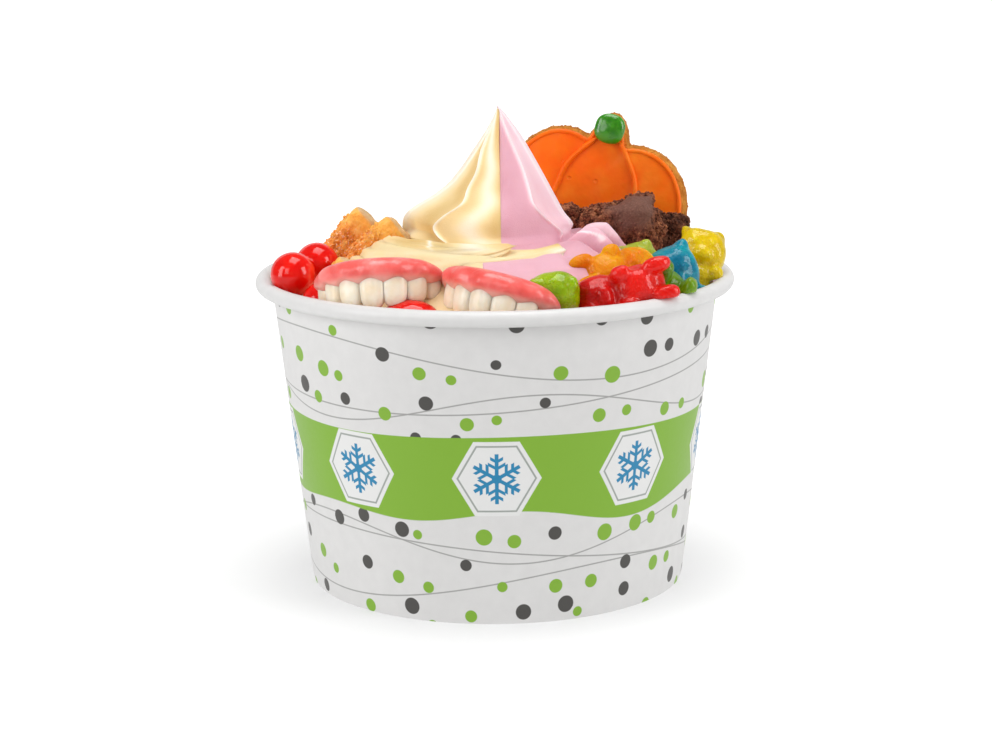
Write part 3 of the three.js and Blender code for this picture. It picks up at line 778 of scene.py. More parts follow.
BISCUIT_PLACE = ((24.4, 25.5, 87.6), (0.26, 0.1, 0.96), (-0.16, -1, 0.1))  # at, up, front
BISCUIT_THICKNESS = 4.6
EDGE_ROUND = 1.5
LOBES = ((-9, -1.2, 13.4, 16.8), (9.5, -0.6, 13.8, 15.9), (0, 0, 13, 15.6), (0.4, 11, 5.2, 10.4))
OUTLINE_TURNS = all_round(240)
FACE_SHARES = np.linspace(0.01, 0.98, 50)


def unit(vectors):
    """Directions, each one long."""
    return vectors / np.linalg.norm(vectors, axis=-1, keepdims=True)


def axes(up, front):
    """A piece's own axes, its +Z turned to up and its -Y as near as can be to front."""
    z = unit(np.array(up, float))
    y = -np.array(front, float)
    y = unit(y - z * y.dot(z))
    return np.array([np.cross(y, z), y, z])


def placed(points, at, up, front=(0, -1, 0)):
    """Points of a piece's own frame, in the cup's."""
    return points @ axes(up, front) + np.array(at)


def own_corners(piece, at, up, front=(0, -1, 0)):
    """A placed piece's corners, back in its own frame."""
    return (corners(piece) - np.array(at)) @ axes(up, front).T


def crag(points, lump, seed, octaves=4):
    """Fractal noise from about -1 to 1, its largest lumps so many millimetres across."""
    flat = np.asarray(points).reshape(-1, 3) / lump + seed * 17.3
    heights = [noise.fractal(Vector(point), 0.9, 2.1, octaves) for point in flat]
    return np.array(heights).reshape(np.shape(points)[:-1])


def pumpkin_reach(turn, inset):
    """How far the pumpkin's outline is from its middle: the furthest of its lobes, melted together."""
    reaches = []
    for x, z, half_wide, half_high in LOBES:
        w, h = half_wide - inset, half_high - inset
        a = (np.cos(turn) / w) ** 2 + (np.sin(turn) / h) ** 2
        b = np.cos(turn) * x / w**2 + np.sin(turn) * z / h**2
        c = (x / w) ** 2 + (z / h) ** 2 - 1
        reaches.append((b + np.sqrt(np.maximum(b * b - a * c, 0))) / a)
    furthest = np.max(reaches, axis=0)
    melt = np.exp(-(np.linspace(-3, 3, 9) ** 2) / 2)
    return np.convolve(np.pad(furthest, 4, mode="wrap"), melt / melt.sum(), "valid")


def pumpkin_slab(rows, inset):
    """Rows of (share of the reach, millimetres further in, y) round the pumpkin."""
    share, further, y = np.transpose(rows)[..., None]
    r = np.maximum(share * pumpkin_reach(OUTLINE_TURNS, inset) - further, 0.02)
    return spots(r * np.cos(OUTLINE_TURNS), y, r * np.sin(OUTLINE_TURNS))


edge_turns = np.radians(np.linspace(90, -90, 15))
biscuit_rows = [(s, EDGE_ROUND * s, -BISCUIT_THICKNESS) for s in FACE_SHARES]
biscuit_rows += [
    (1, EDGE_ROUND * (1 - math.cos(t)), -BISCUIT_THICKNESS / 2 * (1 + math.sin(t))) for t in edge_turns
]
biscuit_rows += [(s, EDGE_ROUND * s, 0) for s in FACE_SHARES[::-1]]
slab = pumpkin_slab(biscuit_rows, 0)
outwards = slab - slab.mean(axis=(0, 1))
outwards *= (1, 0.4, 1) / np.linalg.norm(outwards, axis=-1, keepdims=True)
near_edge = np.clip((np.array(biscuit_rows)[:, :1] - 0.8) / 0.2, 0, 1)
slab += outwards * ((0.25 + 0.5 * near_edge) * crag(slab, 1.6, 1) * 0.35)[..., None]
slab[..., 1] += crag(slab, 7, 2, 2) * 0.25 * (slab[..., 1] < -BISCUIT_THICKNESS / 2)
biscuit_slab = skin("biscuit_slab", placed(slab, *BISCUIT_PLACE))
own = own_corners(biscuit_slab, *BISCUIT_PLACE)
own_turn = np.arctan2(own[:, 2], own[:, 0]) % TAU
reach_there = np.interp(own_turn, OUTLINE_TURNS, pumpkin_reach(OUTLINE_TURNS, 0))
carry(biscuit_slab, "browned", smooth(np.hypot(own[:, 0], own[:, 2]) / reach_there, 0.9, 1.0))
carry(biscuit_slab, "crumbly", np.ones(len(own)))

# Loose crumbs scattered over a piece's skin, where the piece says that it is crumbly.
crumbs = Recipe("crumbs", Per_Square=1.0, Smallest=0.1, Largest=0.3, Seed=1)
crumbly = crumbs.node("GeometryNodeInputNamedAttribute", data_type="FLOAT", Name="crumbly")
scatter = crumbs.node(
    "GeometryNodeDistributePointsOnFaces",
    distribute_method="RANDOM",
    Mesh=crumbs["Geometry"],
    Density=crumbly * crumbs["Per Square"] * MM**-2,
    Seed=crumbs["Seed"],
)
low, high, seed = (crumbs[label] for label in ("Smallest", "Largest", "Seed"))
random = "FunctionNodeRandomValue"
size = crumbs.node(random, None, None, low, high, output=1, data_type="FLOAT", Seed=seed)
spun = crumbs.node(random, None, (TAU, TAU, TAU), data_type="FLOAT_VECTOR", Seed=seed)
strewn = crumbs.node(
    "GeometryNodeInstanceOnPoints",
    Points=scatter,
    Instance=crumbs.node("GeometryNodeMeshIcoSphere", Radius=MM, Subdivisions=1),
    Rotation=spun,
    Scale=crumbs.node("ShaderNodeCombineXYZ", size * 1.25, size, size * 0.8),
)
crumbs.end(crumbs.node("GeometryNodeJoinGeometry", [crumbs["Geometry"], strewn]))

baked = Finish("baked_biscuit", soft=(0.1, (1, 0.2, 0.1), 1.0), Specular_IOR_Level=0.15)
mottle = baked.grain(0.35, detail=6, rough=0.65)
speck = baked.grain(1.6, detail=4, rough=0.7)
pale_dough = baked.shades(mottle, (0.3, "cc7e28"), (0.5, "e6983a"), (0.72, "fab858"))
brown_edge = baked.shades(mottle, (0.3, "a05a20"), (0.7, "c88638"))
crust_colour = baked.blend(baked.carried("browned") * 0.75, pale_dough, brown_edge)
baked.look(
    colour=baked.blend(speck.step(0.66, 0.08) * 0.6, crust_colour, "a8682f"),
    rough=0.62 + 0.3 * speck,
    bumps=0.8 * speck + mottle,
    depth=0.5,
)
crumbs.work(biscuit_slab, baked, Per_Square=0.9, Smallest=0.08, Largest=0.26, Seed=4)
serve(biscuit_slab, baked, "biscuit")

# -------- the icing
# Orange royal icing: an outline is piped first, the inside is flooded level with it, and the
# pumpkin's ribs are piped on top. It dries with a satin skin and faint dimples.

ICING_INSET = 1.25
ICING_FACE = BISCUIT_THICKNESS + 1.25
ICING_ROUND = 0.9
ICING_SHIFT = -0.25
OUTLINE_RADIUS = 0.55
RIB_RADIUS = 0.6
RIBS = (  # height and distance across of points along each
    ((14.6, -2.2), (11.5, -4.8), (6.7, -7.8), (1.4, -8.9), (-4, -9.6), (-9, -8.9), (-13, -7)),
    ((14.8, 3.0), (12.9, 4.8), (9.7, 7.2), (6.5, 9.1), (1.9, 10), (-5, 10.1), (-12, 7.6)),
)

back_face = 0.3 - BISCUIT_THICKNESS
flood_rows = [(s, ICING_ROUND * s, 0.12 * s**6 - ICING_FACE) for s in np.linspace(0.01, 0.97, 50)]
flood_rows += [
    (1, ICING_ROUND * (1 - math.cos(t)), back_face - 1.43 * math.sin(t))
    for t in np.radians(np.linspace(90, 0, 8))
]
flood_rows += [(s, 0, back_face) for s in np.linspace(0.96, 0.01, 6)]
flood = pumpkin_slab(flood_rows, ICING_INSET)
flood[..., 1] += 0.16 * crag(flood, 6, 7, 2) * (flood[..., 1] < -BISCUIT_THICKNESS - 0.2)
flood[..., 0] += ICING_SHIFT
flooded = skin("flooded", placed(flood, *BISCUIT_PLACE))

# A bead of icing pressed out along a line, a little uneven, with its ends drawn off.
piping = Recipe("piping", Radius=0.6 * MM, Wobble=0.25, Taper=1.0)
to_end = abs(piping.node("GeometryNodeSplineParameter") * 2 - 1)
tip = to_end.power(14) * piping["Taper"]
nozzle = piping.node(
    "GeometryNodeCurvePrimitiveCircle", mode="RADIUS", Resolution=14, Radius=piping["Radius"]
)
bead = piping.node(
    "GeometryNodeCurveToMesh",
    Curve=piping.node("GeometryNodeMeshToCurve", piping["Geometry"]),
    Profile_Curve=nozzle,
    Scale=1 - 0.7 * tip,
    Fill_Caps=True,
)
here = piping.node("GeometryNodeInputPosition")
lumps = piping.node("ShaderNodeTexNoise", Vector=here, Scale=0.45 / MM, Detail=1.0)
push = (lumps - 0.5) * piping["Wobble"] * piping["Radius"] * 2
normal = piping.node("GeometryNodeInputNormal")
pushed = piping.node("ShaderNodeVectorMath", normal, operation="SCALE", Scale=push)
piping.end(piping.node("GeometryNodeSetPosition", bead, Offset=pushed))


def piped(name, points, radius, closed=False):
    """A piped bead along points of the biscuit's own frame."""
    made = wire(name, placed(points, *BISCUIT_PLACE), closed)
    piping.work(made, icing, Radius=radius * MM, Wobble=0.3, Taper=0.0 if closed else 1.0)
    return made


icing = Finish(
    "royal_icing", soft=(0.2, (1, 0.2, 0.1), 1.0), Specular_IOR_Level=0.2, Coat_Roughness=0.25
)
drift = icing.grain(0.12, detail=3)
dimple = icing.grain(0.8, detail=2)
pinhole = icing.node("ShaderNodeTexVoronoi", Vector=icing.here, Scale=0.22, Randomness=1.0)
icing.look(
    colour=icing.shades(drift, (0.3, "ff6602"), (0.55, "ff7408"), (0.75, "ff881c")),
    rough=0.34 + 0.12 * dimple,
    bumps=drift + 0.25 * dimple - 0.5 * pinhole.step(0.09, -0.05),
    depth=0.35,
    Coat_Weight=0.03 + 0.06 * drift,
)
turns = all_round(170)
r = pumpkin_reach(turns, ICING_INSET) - 0.35
outline = spots(r * np.cos(turns) + ICING_SHIFT, -BISCUIT_THICKNESS - 0.95, r * np.sin(turns))
beads = [piped("outline", outline, OUTLINE_RADIUS, closed=True)]
for number, stops in enumerate(RIBS):
    high = np.linspace(stops[0][0], stops[-1][0], 60)
    rib = spots(through(stops[::-1], high), -ICING_FACE - 0.2, high)
    beads.append(piped(f"rib_{number}", rib, RIB_RADIUS))
serve(together("orange_icing", [flooded, *beads]), icing, "biscuit_icing")


# The stalk: one fat squarish drop of green gel, pressed on with its peak smoothed down.
def blunt(value, power):
    """A power of a number's size, with its sign kept."""
    return np.sign(value) * np.abs(value) ** power


def lozenge(centre, radii, power, rows=41, columns=64):
    """An egg, or with a power under 1 a rounded box, as rows by columns of points."""
    tilt = np.linspace(-0.5, 0.5, rows)[:, None] * math.pi
    spin = all_round(columns)
    level = blunt(np.cos(tilt), power)
    x, y = level * blunt(np.cos(spin), power), level * blunt(np.sin(spin), power)
    return spots(x, y, blunt(np.sin(tilt), power)) * radii + centre


DROP_MIDDLE = (0.2, -ICING_FACE - 1.1, 17.2)
DROP_RADII = (3.7, 1.6, 3.6)
drop = lozenge(DROP_MIDDLE, DROP_RADII, 0.84)
drop += 0.12 * crag(drop, 3.5, 11, 2)[..., None]
green_stalk = skin("green_stalk", placed(drop, *BISCUIT_PLACE))
gel = Finish("green_gel", soft=(0.6, (0.6, 1.4, 0.4), 1.5), IOR=1.45, Coat_Roughness=0.08)
cloud = gel.grain(0.5, detail=3)
gel.look(
    colour=gel.shades(cloud, (0.3, "227604"), (0.7, "489c0c")),
    rough=0.2 + 0.15 * cloud,
    bumps=cloud,
    depth=0.12,
    Coat_Weight=0.4 + 0.2 * cloud,
)
serve(green_stalk, gel, "biscuit_stalk")

# -------- the brownie
# Chunks broken by hand from a tray of dark brownie: a thin matt crust on top where it baked, and
# torn, open crumb on every other side. They are pushed into the yogurt in front of the biscuit.

BROWNIES = {  # size, at, up, front
    "brownie_front": ((17, 10, 13), (30.6, 4, 83), (-0.3, 0, 1), (-0.4, -1, 0)),
    "brownie_right": ((9, 8, 12), (40.6, 10, 79.6), (0.15, 0, 1), (0.3, -1, 0)),
    "brownie_left": ((12, 6, 9), (20.4, 12.4, 82.6), (0, 0, 1), (-0.3, -1, 0)),
}
CRUST_SIDE = np.array((0.5, -0.45, 0.74))
BROWNIE_ROUNDNESS = 0.36


def block(size, power):
    """A rounded box of points close enough together to be torn."""
    return lozenge(0, np.array(size) / 2, power, rows=110, columns=166)


brownie = Finish("brownie_crumb", IOR=1.4, Specular_IOR_Level=0.35)
lump = brownie.grain(0.7, detail=6, rough=0.7)
fleck = brownie.grain(2.4, detail=3, rough=0.6)
on_crust = brownie.carried("crust")
torn = brownie.shades(lump, (0.34, "34180e"), (0.48, "7c4630"), (0.64, "c07e58"))
# Painted shade: the right chunk's torn crumb is painted half way towards a dark brown, by the number it
# carries.
torn = brownie.blend(brownie.carried("moist"), torn, "2a140d")
crusty = brownie.shades(fleck, (0.3, "644238"), (0.6, "7c5446"), (0.75, "8e6858"))
brownie.look(
    colour=brownie.blend(on_crust, torn, crusty),
    rough=0.82 - 0.3 * on_crust * lump,
    bumps=lump + 0.4 * fleck * (1 - on_crust),
    depth=0.5,
)
for seed, (name, (size, *where)) in enumerate(BROWNIES.items(), start=1):
    crusted = name == "brownie_front"
    points = block(size, BROWNIE_ROUNDNESS)
    radial = unit(points)
    broad = crag(points, 6, seed, 2)
    torn_relief = crag(points, 2.8, seed + 20, 6)
    top = smooth(radial @ CRUST_SIDE, 0.62, 0.8) * crusted
    pits = 2.2 * np.minimum(torn_relief, 0.1) + 0.9 * torn_relief
    depth = broad + (1 - top) * pits + 0.15 * top * torn_relief
    made = skin(name + "_chunk", placed(points + radial * depth[..., None], *where))
    facing = unit(own_corners(made, *where))
    crust = smooth(facing @ CRUST_SIDE, 0.66, 0.78) * crusted
    carry(made, "crust", crust)
    # Painted shade for the right chunk: its number is 0.5, and 0 on the others.
    carry(made, "moist", 0 * crust + 0.5 * (name == "brownie_right"))
    carry(made, "crumbly", 1 - crust)
    crumbs.work(made, brownie, Per_Square=1.6, Smallest=0.15, Largest=0.55, Seed=seed)
    serve(made, brownie, name)

# -------- the toffee bars
# Two bars and a crumb of crisp orange toffee, rough with baked grains down their sides and dipped
# in a tan coating at the ends. They lean on the coil at the left.

TOFFEES = {  # size, at, up
    "toffee_left": ((8.5, 8, 18), (-35, 6, 79.4), (0.64, 0.1, 0.7)),
    "toffee_right": ((8, 8, 18), (-28.4, -3.4, 79.2), (0.7, 0.2, 0.66)),
    "toffee_crumb": ((7, 6, 6), (-33.6, -13.5, 76.2), (0.3, 0, 1)),
}
TOFFEE_ROUNDNESS = 0.3

toffee = Finish("toffee_crisp", soft=(0.25, (1.5, 0.7, 0.2), 1.0), IOR=1.45)
lump = toffee.grain(0.55, detail=5, rough=0.65)
fleck = toffee.grain(1.9, detail=3)
crisp = toffee.shades(lump, (0.3, "f09c38"), (0.5, "ffb850"), (0.7, "ffc870"))
dark_grain = toffee.shades(lump, (0.3, "c86a1c"), (0.5, "f49236"), (0.68, "ffb45c"))
# Pale flecks among the dark grains are painted glints.
grains_with_painted_glints = toffee.blend(fleck.step(0.62, 0.06), dark_grain, "ffd8b8")
coating = toffee.shades(lump, (0.3, "caa06a"), (0.7, "e2c092"))
inside = toffee.blend(toffee.carried("golden"), grains_with_painted_glints, crisp)
toffee.look(
    colour=toffee.blend(toffee.carried("coated"), inside, coating),
    rough=0.5 + 0.35 * fleck,
    bumps=lump + 0.4 * fleck,
    depth=0.4,
)
for seed, (name, (size, *where)) in enumerate(TOFFEES.items(), start=4):
    tall = size[2]
    points = block(size, TOFFEE_ROUNDNESS)
    radial = unit(points * (1, 1, 0.35))
    grain_depth = 0.7 - 0.5 * smooth(points[..., 2], 0, tall * 0.35)
    depth = 0.5 * crag(points, 5, seed, 2) + grain_depth * crag(points, 1.7, seed + 30)
    made = skin(name + "_bar", placed(points + radial * depth[..., None], *where))
    own = own_corners(made, *where)
    high = own[:, 2]
    carry(made, "golden", smooth(high + 2 * crag(own, 3, seed, 2), 0, tall * 0.4))
    carry(made, "coated", smooth(high + 0.12 * own[:, 0], tall * 0.42, tall * 0.46))
    carry(made, "crumbly", 1 - smooth(high, 0, tall * 0.4))
    crumbs.work(made, toffee, Per_Square=1.1, Smallest=0.2, Largest=0.6, Seed=seed)
    serve(made, toffee, name)

# -------- the jelly bears
# Fruit jelly poured into starch moulds: a flat back, a round belly, short legs, paws held at the
# chest, a blunt muzzle and two ears. Oiled so that they shine; the orange one is dusted with sugar.

BEAR_MIDDLES = (
    ((0, 0.3, -2.4), (5.1, 4.0, 7.4)),  # body
    ((0, -1.2, -2.6), (4.3, 3.8, 4.8)),  # belly
    ((0, -0.1, 5.4), (5.4, 4.2, 5.0)),  # head
    ((0, -3.9, 4.4), (2.2, 1.3, 1.6)),  # muzzle
)
BEAR_PAIRS = (
    ((3.7, 0.6, 9.0), (1.5, 1.6, 1.6)),  # ears
    ((3.7, -3.6, -0.4), (1.7, 1.9, 2.3)),  # paws
    ((3.3, -2.8, -8.6), (1.8, 2.2, 3.3)),  # legs
    ((2.0, -4.1, 6.9), (0.6, 0.5, 0.6)),  # eyes
)
BEAR_FLAT = 3.7
BEAR_ROUNDNESS = 0.76
MELT_SIZE = 0.4
SOFTENING_TURNS = 10
RIM_INSIDE = 71  # up to here the wall holds the bears in
BEARS = {  # at, up, front, growth
    "bear_red": ((28.0, -37.0, 75.2), (-0.93, -0.1, -0.26), (0, -0.95, 0.3), 1.0),
    "bear_blue": ((42.0, -20.4, 70.4), (-0.4, -0.1, 0.9), (0.1, -1, 0.2), 1.2),
    "bear_yellow": ((47.6, -8.6, 74.4), (0.2, 0.3, 0.95), (-0.1, -1, 0.2), 1.0),
    "bear_orange": ((27, -25.8, 78), (0.94, 0.28, 0.14), (0.15, -0.7, 0.75), 0.9),
    "bear_lime": ((13.4, -36.4, 73), (-0.1, -0.85, 0.5), (0, -0.5, -0.85), 1.06),
    "bear_pale": ((34.4, -14, 74.6), (-0.25, 0.1, 0.95), (-0.3, -1, 0), 0.8),
    "bear_green": ((35.4, -29.4, 69.6), (-0.6, 0.1, -0.75), (0.2, -0.95, 0.2), 1.0),
}
JELLIES = {
    "jelly_red": ("d80a04", "f8200e", (2.5, 0.3, 0.2)),
    "jelly_blue": ("007a9e", "02a2b0", (0.3, 1.6, 2.2)),
    "jelly_yellow": ("dcbe00", "f2d400", (2.2, 2.0, 0.2)),
    "jelly_orange": ("f08c00", "ffac00", (2.6, 1.2, 0.2)),
    "jelly_lime": ("86a800", "acc800", (1.4, 2.4, 0.2)),
    "jelly_pale": ("a2b024", "c4d048", (1.6, 2.2, 0.5)),
    "jelly_green": ("548400", "7ea404", (1.2, 2.0, 0.2)),
}


def fused(name, parts):
    """Rounded parts run into one skin, with their joins softened."""
    whole = together(name, parts)
    melt = whole.modifiers.new("melt", "REMESH")
    melt.mode = "VOXEL"
    melt.voxel_size = MELT_SIZE * MM
    soften = whole.modifiers.new("soften", "SMOOTH")
    soften.factor = 0.5
    soften.iterations = SOFTENING_TURNS
    settle(whole)
    return whole


def reshape(piece, points):
    """Moves a mesh's corners to new places in millimetres."""
    piece.data.vertices.foreach_set("co", (points * MM).ravel())
    smoothed(piece.data)
    piece.data.update()


def jelly(name, deep, light, radius):
    """Clear fruit jelly of one colour, with the light running through it."""
    sugared = name == "jelly_orange"
    finish = Finish(
        name,
        soft=(0.7, radius, 1.3),
        Specular_IOR_Level=0.12,
        Subsurface_Anisotropy=0.4,
        Transmission_Weight=0.2,
        IOR=1.42,
        Coat_Roughness=0.06,
    )
    cloud = finish.grain(0.16)
    skin_grain = finish.grain(1.3, detail=3)
    dust = finish.grain(3.0)
    height = finish.grain(0.45, warp=2.5) + 0.6 * skin_grain
    finish.look(
        colour=finish.shades(cloud, (0.35, deep), (0.65, light)),
        rough=0.46 + 0.3 * dust if sugared else 0.24 + 0.16 * skin_grain,
        bumps=height + 0.4 * dust if sugared else height,
        depth=0.36,
        Coat_Weight=(0.1 if sugared else 0.4) + 0.2 * cloud,
    )
    return finish


for seed, (name, (at, up, front, grown)) in enumerate(BEARS.items()):
    parts = [*BEAR_MIDDLES]
    parts += [((side * x, y, z), radii) for (x, y, z), radii in BEAR_PAIRS for side in (1, -1)]
    lumps = [skin(f"part_{i}", lozenge(*part, BEAR_ROUNDNESS)) for i, part in enumerate(parts)]
    bear = fused("jelly_" + name, lumps)
    own = corners(bear)
    own[:, 1] = np.minimum(own[:, 1], BEAR_FLAT + 0.25 * np.tanh((own[:, 1] - BEAR_FLAT) / 0.25))
    own[:, 0] += 0.012 * math.sin(seed * 2.3) * own[:, 2] ** 2
    swell = 0.28 * crag(own, 4.5, seed + 50, 2)
    own *= 1 + (swell / np.maximum(np.linalg.norm(own, axis=-1), 3))[:, None]
    points = placed(own * grown, at, up, front)
    high = points[:, 2]
    room = room_at(np.minimum(high, RIM_INSIDE)) + 12 * smooth(high, 73.5, 76)
    points[:, :2] *= np.minimum(1, room / np.hypot(points[:, 0], points[:, 1]))[:, None]
    reshape(bear, points)
    kind = name.replace("bear", "jelly")
    serve(bear, jelly(kind, *JELLIES[kind]), name)

# -------- the jelly teeth
# Two sets of party teeth in two jellies cast together: foam-white teeth in a curved row, and an
# oiled pink gum over their roots. They lie on the yogurt's front edge with the teeth down.

ARCH_HALF_WIDTH = 13.8
ARCH_DEPTH = 12.5
ARCH_SWEEP = math.radians(74)
TOOTH_COUNT = 7
TOOTH_WIDTH = 6.9
TOOTH_DEPTH = 5.4
TOOTH_HEIGHT = 11.8
GUM_ROWS = 170
GUM_COLUMNS = 56
TEETH_SETS = {  # at, up, front
    "left": ((-26.8, -40.4, 78.8), (-0.04, 0.3, 0.95), (-0.14, -1, 0)),
    "right": ((-2.4, -46.4, 77), (0.24, 0.2, 0.94), (-0.55, -1, 0)),
}


def arch(turn, outwards, z):
    """A point by the arch: its front at the origin and its ends behind."""
    ahead, aside = np.cos(turn), np.sin(turn)
    away = np.hypot(aside * ARCH_DEPTH, ahead * ARCH_HALF_WIDTH)
    x = aside * (ARCH_HALF_WIDTH + outwards * ARCH_DEPTH / away)
    y = ARCH_DEPTH - ahead * (ARCH_DEPTH + outwards * ARCH_HALF_WIDTH / away)
    return spots(x, y, z)


# The row of teeth: rounded blocks along the arch, smaller towards its ends.
sides = {"Width": TOOTH_WIDTH * MM, "Depth": TOOTH_DEPTH * MM, "Height": TOOTH_HEIGHT * MM}
tooth_row = Recipe("tooth_row", Count=TOOTH_COUNT, **sides)
archway = tooth_row.node("GeometryNodeMeshToCurve", tooth_row["Geometry"])
block_size = tooth_row.node("ShaderNodeCombineXYZ", *(tooth_row[label] for label in sides))
cube = tooth_row.node("GeometryNodeMeshCube", Size=block_size)
tangent = tooth_row.node("GeometryNodeInputTangent")
to_back = abs(tooth_row.node("GeometryNodeSplineParameter") * 2 - 1)
shrink = 1 - 0.28 * to_back * to_back
tooth_row.end(
    tooth_row.node(
        "GeometryNodeInstanceOnPoints",
        Points=tooth_row.node("GeometryNodeResampleCurve", Curve=archway, Count=tooth_row["Count"]),
        Instance=tooth_row.node("GeometryNodeSubdivisionSurface", cube, Level=4, Edge_Crease=0.16),
        Rotation=tooth_row.node(
            "FunctionNodeAlignRotationToVector", axis="X", pivot_axis="Z", Vector=tangent
        ),
        Scale=tooth_row.node("ShaderNodeCombineXYZ", shrink, shrink, 1 - 0.3 * to_back * to_back),
    )
)

foam = Finish(
    "foam_jelly", soft=(0.7, (1.3, 1.1, 0.9), 1.3), Specular_IOR_Level=0.35, Coat_Roughness=0.15
)
cloud = foam.grain(0.3, detail=3)
white = foam.shades(cloud, (0.3, "f4e0c2"), (0.65, "fdeedb"))
foam.look(
    colour=foam.blend(foam.carried("root"), white, "e8968a"),
    rough=0.3 + 0.15 * foam.grain(0.9, detail=3),
    bumps=foam.grain(0.7, detail=3),
    depth=0.18,
    Coat_Weight=0.25 + 0.2 * cloud,
)
gum_jelly = Finish(
    "gum_jelly", soft=(0.6, (2.0, 0.8, 0.7), 1.3), Specular_IOR_Level=0.3, Coat_Roughness=0.1
)
cloud = gum_jelly.grain(0.2, detail=3)
pink = gum_jelly.shades(cloud, (0.3, "e4544c"), (0.5, "ee6862"), (0.72, "f88a84"))
gum_jelly.look(
    colour=gum_jelly.blend(gum_jelly.carried("thin"), pink, "f6bcae"),
    rough=0.25 + 0.15 * gum_jelly.grain(1.0, detail=3),
    bumps=gum_jelly.grain(0.6, detail=3),
    depth=0.2,
    Coat_Weight=0.25 + 0.2 * cloud,
)


def gum(name, where):
    """A gum: a round bar bent along the arch, thin at its ends and scalloped over each tooth."""
    along = np.linspace(-1, 1, GUM_ROWS)[:, None]
    around = all_round(GUM_COLUMNS)
    end = np.abs(along)
    full = np.maximum(np.sqrt(1 - end**8) * (1 - 0.3 * end**2), 0.03)
    over_tooth = np.cos(along * TOOTH_COUNT * math.pi + 0 * around)
    low = np.maximum(-np.sin(around), 0)
    outer = np.maximum(np.cos(around), 0)
    outwards = -0.4 + full * (3.3 * np.cos(around) + 0.25 * over_tooth * outer * (1 + low))
    z = 2.4 - 2.2 * end**4 + full * (2.8 * np.sin(around) + 0.8 * over_tooth * low * outer**0.5)
    made = skin(name, placed(arch(along * (ARCH_SWEEP + 0.12), outwards, z), *where))
    carry(made, "thin", 0.65 * (1 - smooth(own_corners(made, *where)[:, 2], 0.2, 1.6)))
    return made


for side, where in TEETH_SETS.items():
    turns = np.linspace(-1, 1, 80) * ARCH_SWEEP * (1 - 1 / TOOTH_COUNT)
    row_of_teeth = wire("teeth_row_" + side, arch(turns, -0.6, -0.9))
    tooth_row.work(row_of_teeth, foam, Count=TOOTH_COUNT)
    own = corners(row_of_teeth)
    carry(row_of_teeth, "root", 0.45 * smooth(own[:, 2], -0.8, 1.4))
    reshape(row_of_teeth, placed(own, *where))
    serve(row_of_teeth, foam, "teeth_" + side)
    serve(gum("jelly_gum_" + side, where), gum_jelly, "gum_" + side)

# -------- the red balls
# Clear red jelly balls, wet with their own syrup. Three lie at the left edge, and one is pressed
# in below the two sets of teeth.

BALL_RADIUS = 5.2
BALLS = {  # middle, stretch across
    "ball_front": ((-46, -16, 76.4), 1),
    "ball_back": ((-41.2, -6, 77), 1),
    "ball_low": ((-38.4, -24.4, 71), 1),
    "ball_middle": ((-18.6, -41.2, 69.6), 1.35),
}
syrup = Finish(
    "syrup_jelly", soft=(1.0, (3.0, 0.25, 0.2), 1.4), Specular_IOR_Level=0.12, Coat_Roughness=0.03
)
cloud = syrup.grain(0.2)
syrup.look(
    colour=syrup.shades(cloud, (0.3, "d20c06"), (0.7, "ec1e12")),
    rough=0.06 + 0.06 * cloud,
    bumps=syrup.grain(0.35),
    depth=0.04,
    Coat_Weight=0.5 + 0.2 * cloud,
)
for seed, (name, (centre, stretch)) in enumerate(BALLS.items()):
    points = lozenge(0, (BALL_RADIUS,) * 3, 1)
    points *= 1 + 0.012 * crag(points, 6, seed + 80, 2)[..., None]
    serve(skin("jelly_" + name, points * (stretch, 1, 1) + centre), syrup, name)

# -------- the table and the light
# A pale seamless sheet under and behind the cup, a large soft light on the right, a weaker one on the
# left and one overhead.
# The sheet also glows for the camera only: painted light, dimmed near the cup into a painted shadow
# round its foot.

SHEET_HALF_WIDTH = 2200
SHEET_DROP = 0.02
PAINTED_GLOW_REACH = 600
sweep_rows = [(-2400, 0), (900, 0), (1150, 20), (1320, 90), (1420, 220), (1470, 420), (1480, 1300)]
sheet_points = [
    (x, y, z - SHEET_DROP) for y, z in sweep_rows for x in (-SHEET_HALF_WIDTH, SHEET_HALF_WIDTH)
]
sheet_faces = [(2 * i, 2 * i + 1, 2 * i + 3, 2 * i + 2) for i in range(len(sweep_rows) - 1)]
backdrop = drawn("backdrop", sheet_points, [], sheet_faces)
rounding = backdrop.modifiers.new("rounding", "SUBSURF")
rounding.levels = rounding.render_levels = 3
pale_sheet = Finish("pale_sheet", Roughness=0.85, Emission_Strength=1.0)
away = span(*pale_sheet.here.parts()[:2])
# Painted light: the sheet glows for camera rays only, less near the cup, which leaves a painted shadow
# round the cup's foot.
seen = pale_sheet.node("ShaderNodeLightPath", output="Is Camera Ray")
painted_glow_ramp = ((0.073, "c8c8c8"), (0.1, "dadada"), (0.16, "eeeeee"), (0.28, "ffffff"))
pale_sheet.feed(
    Base_Color=pale_sheet.shades(pale_sheet.grain(0.01), (0.3, "929292"), (0.7, "969696")),
    Emission_Color=pale_sheet.shades(seen * away / PAINTED_GLOW_REACH, *painted_glow_ramp),
)
backdrop.data.materials.append(pale_sheet.material)

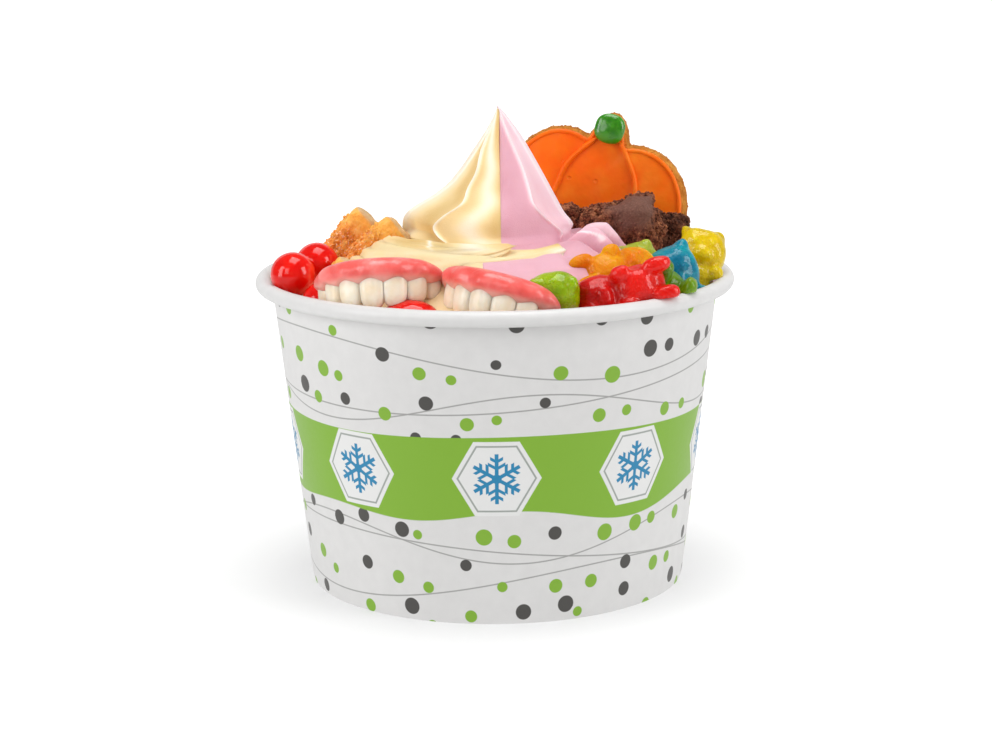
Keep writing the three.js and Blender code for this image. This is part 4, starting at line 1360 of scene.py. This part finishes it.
LIGHTS = {  # where it is, the height it faces, how wide, how high, watts
    "light_right": ((0.78, -0.36, 0.4), 0.06, 0.34, 0.7, 4.3),
    "light_left": ((-0.78, -0.38, 0.36), 0.06, 0.34, 0.7, 3.7),
    "light_top": ((0.05, -0.02, 0.9), 0.08, 0.6, 0.5, 4.6),
    "window": ((-0.4, -0.62, 0.42), 0.08, 0.26, 0.34, 0.9),
}
for name, (place, aim, wide, high, watts) in LIGHTS.items():
    lamp = bpy.data.lights.new(name, "AREA")
    lamp.shape = "RECTANGLE"
    lamp.size = wide
    lamp.size_y = high
    lamp.energy = watts
    holder = put(name, lamp)
    holder.location = place
    facing = Vector((0, 0, aim)) - Vector(place)
    holder.rotation_euler = facing.to_track_quat("-Z", "Y").to_euler()

world = bpy.data.worlds.new("room")
world.use_nodes = True
room_light = world.node_tree.nodes["Background"].inputs
room_light["Color"].default_value = (1, 1, 1, 1)
room_light["Strength"].default_value = 0.19
bpy.context.scene.world = world
bpy.context.scene.view_settings.view_transform = "Standard"

# -------- the camera
# A long lens a little above the rim, level but for half a degree.

CAMERA_AT = (0, -557.83, 167.03)
CAMERA_TURN = 0.00013
CAMERA_DIP = 0.207
CAMERA_ROLL = -0.01003
FOCAL_PIXELS = 2405.69
FRAME_PIXELS = 992

lens = bpy.data.cameras.new("camera")
lens.sensor_width = 36
lens.lens = FOCAL_PIXELS * lens.sensor_width / FRAME_PIXELS
camera = put("camera", lens)
forward = Vector((math.sin(CAMERA_TURN), math.cos(CAMERA_TURN), 0)) * math.cos(CAMERA_DIP)
forward.z = -math.sin(CAMERA_DIP)
level = Vector((math.cos(CAMERA_TURN), -math.sin(CAMERA_TURN), 0))
upwards = level.cross(forward)
tilted = level * math.cos(CAMERA_ROLL) + upwards * math.sin(CAMERA_ROLL)
upwards = upwards * math.cos(CAMERA_ROLL) - level * math.sin(CAMERA_ROLL)
basis = Matrix((tilted, upwards, -forward)).transposed()
camera.matrix_world = Matrix.Translation(Vector(CAMERA_AT) * MM) @ basis.to_4x4()
bpy.context.scene.camera = camera
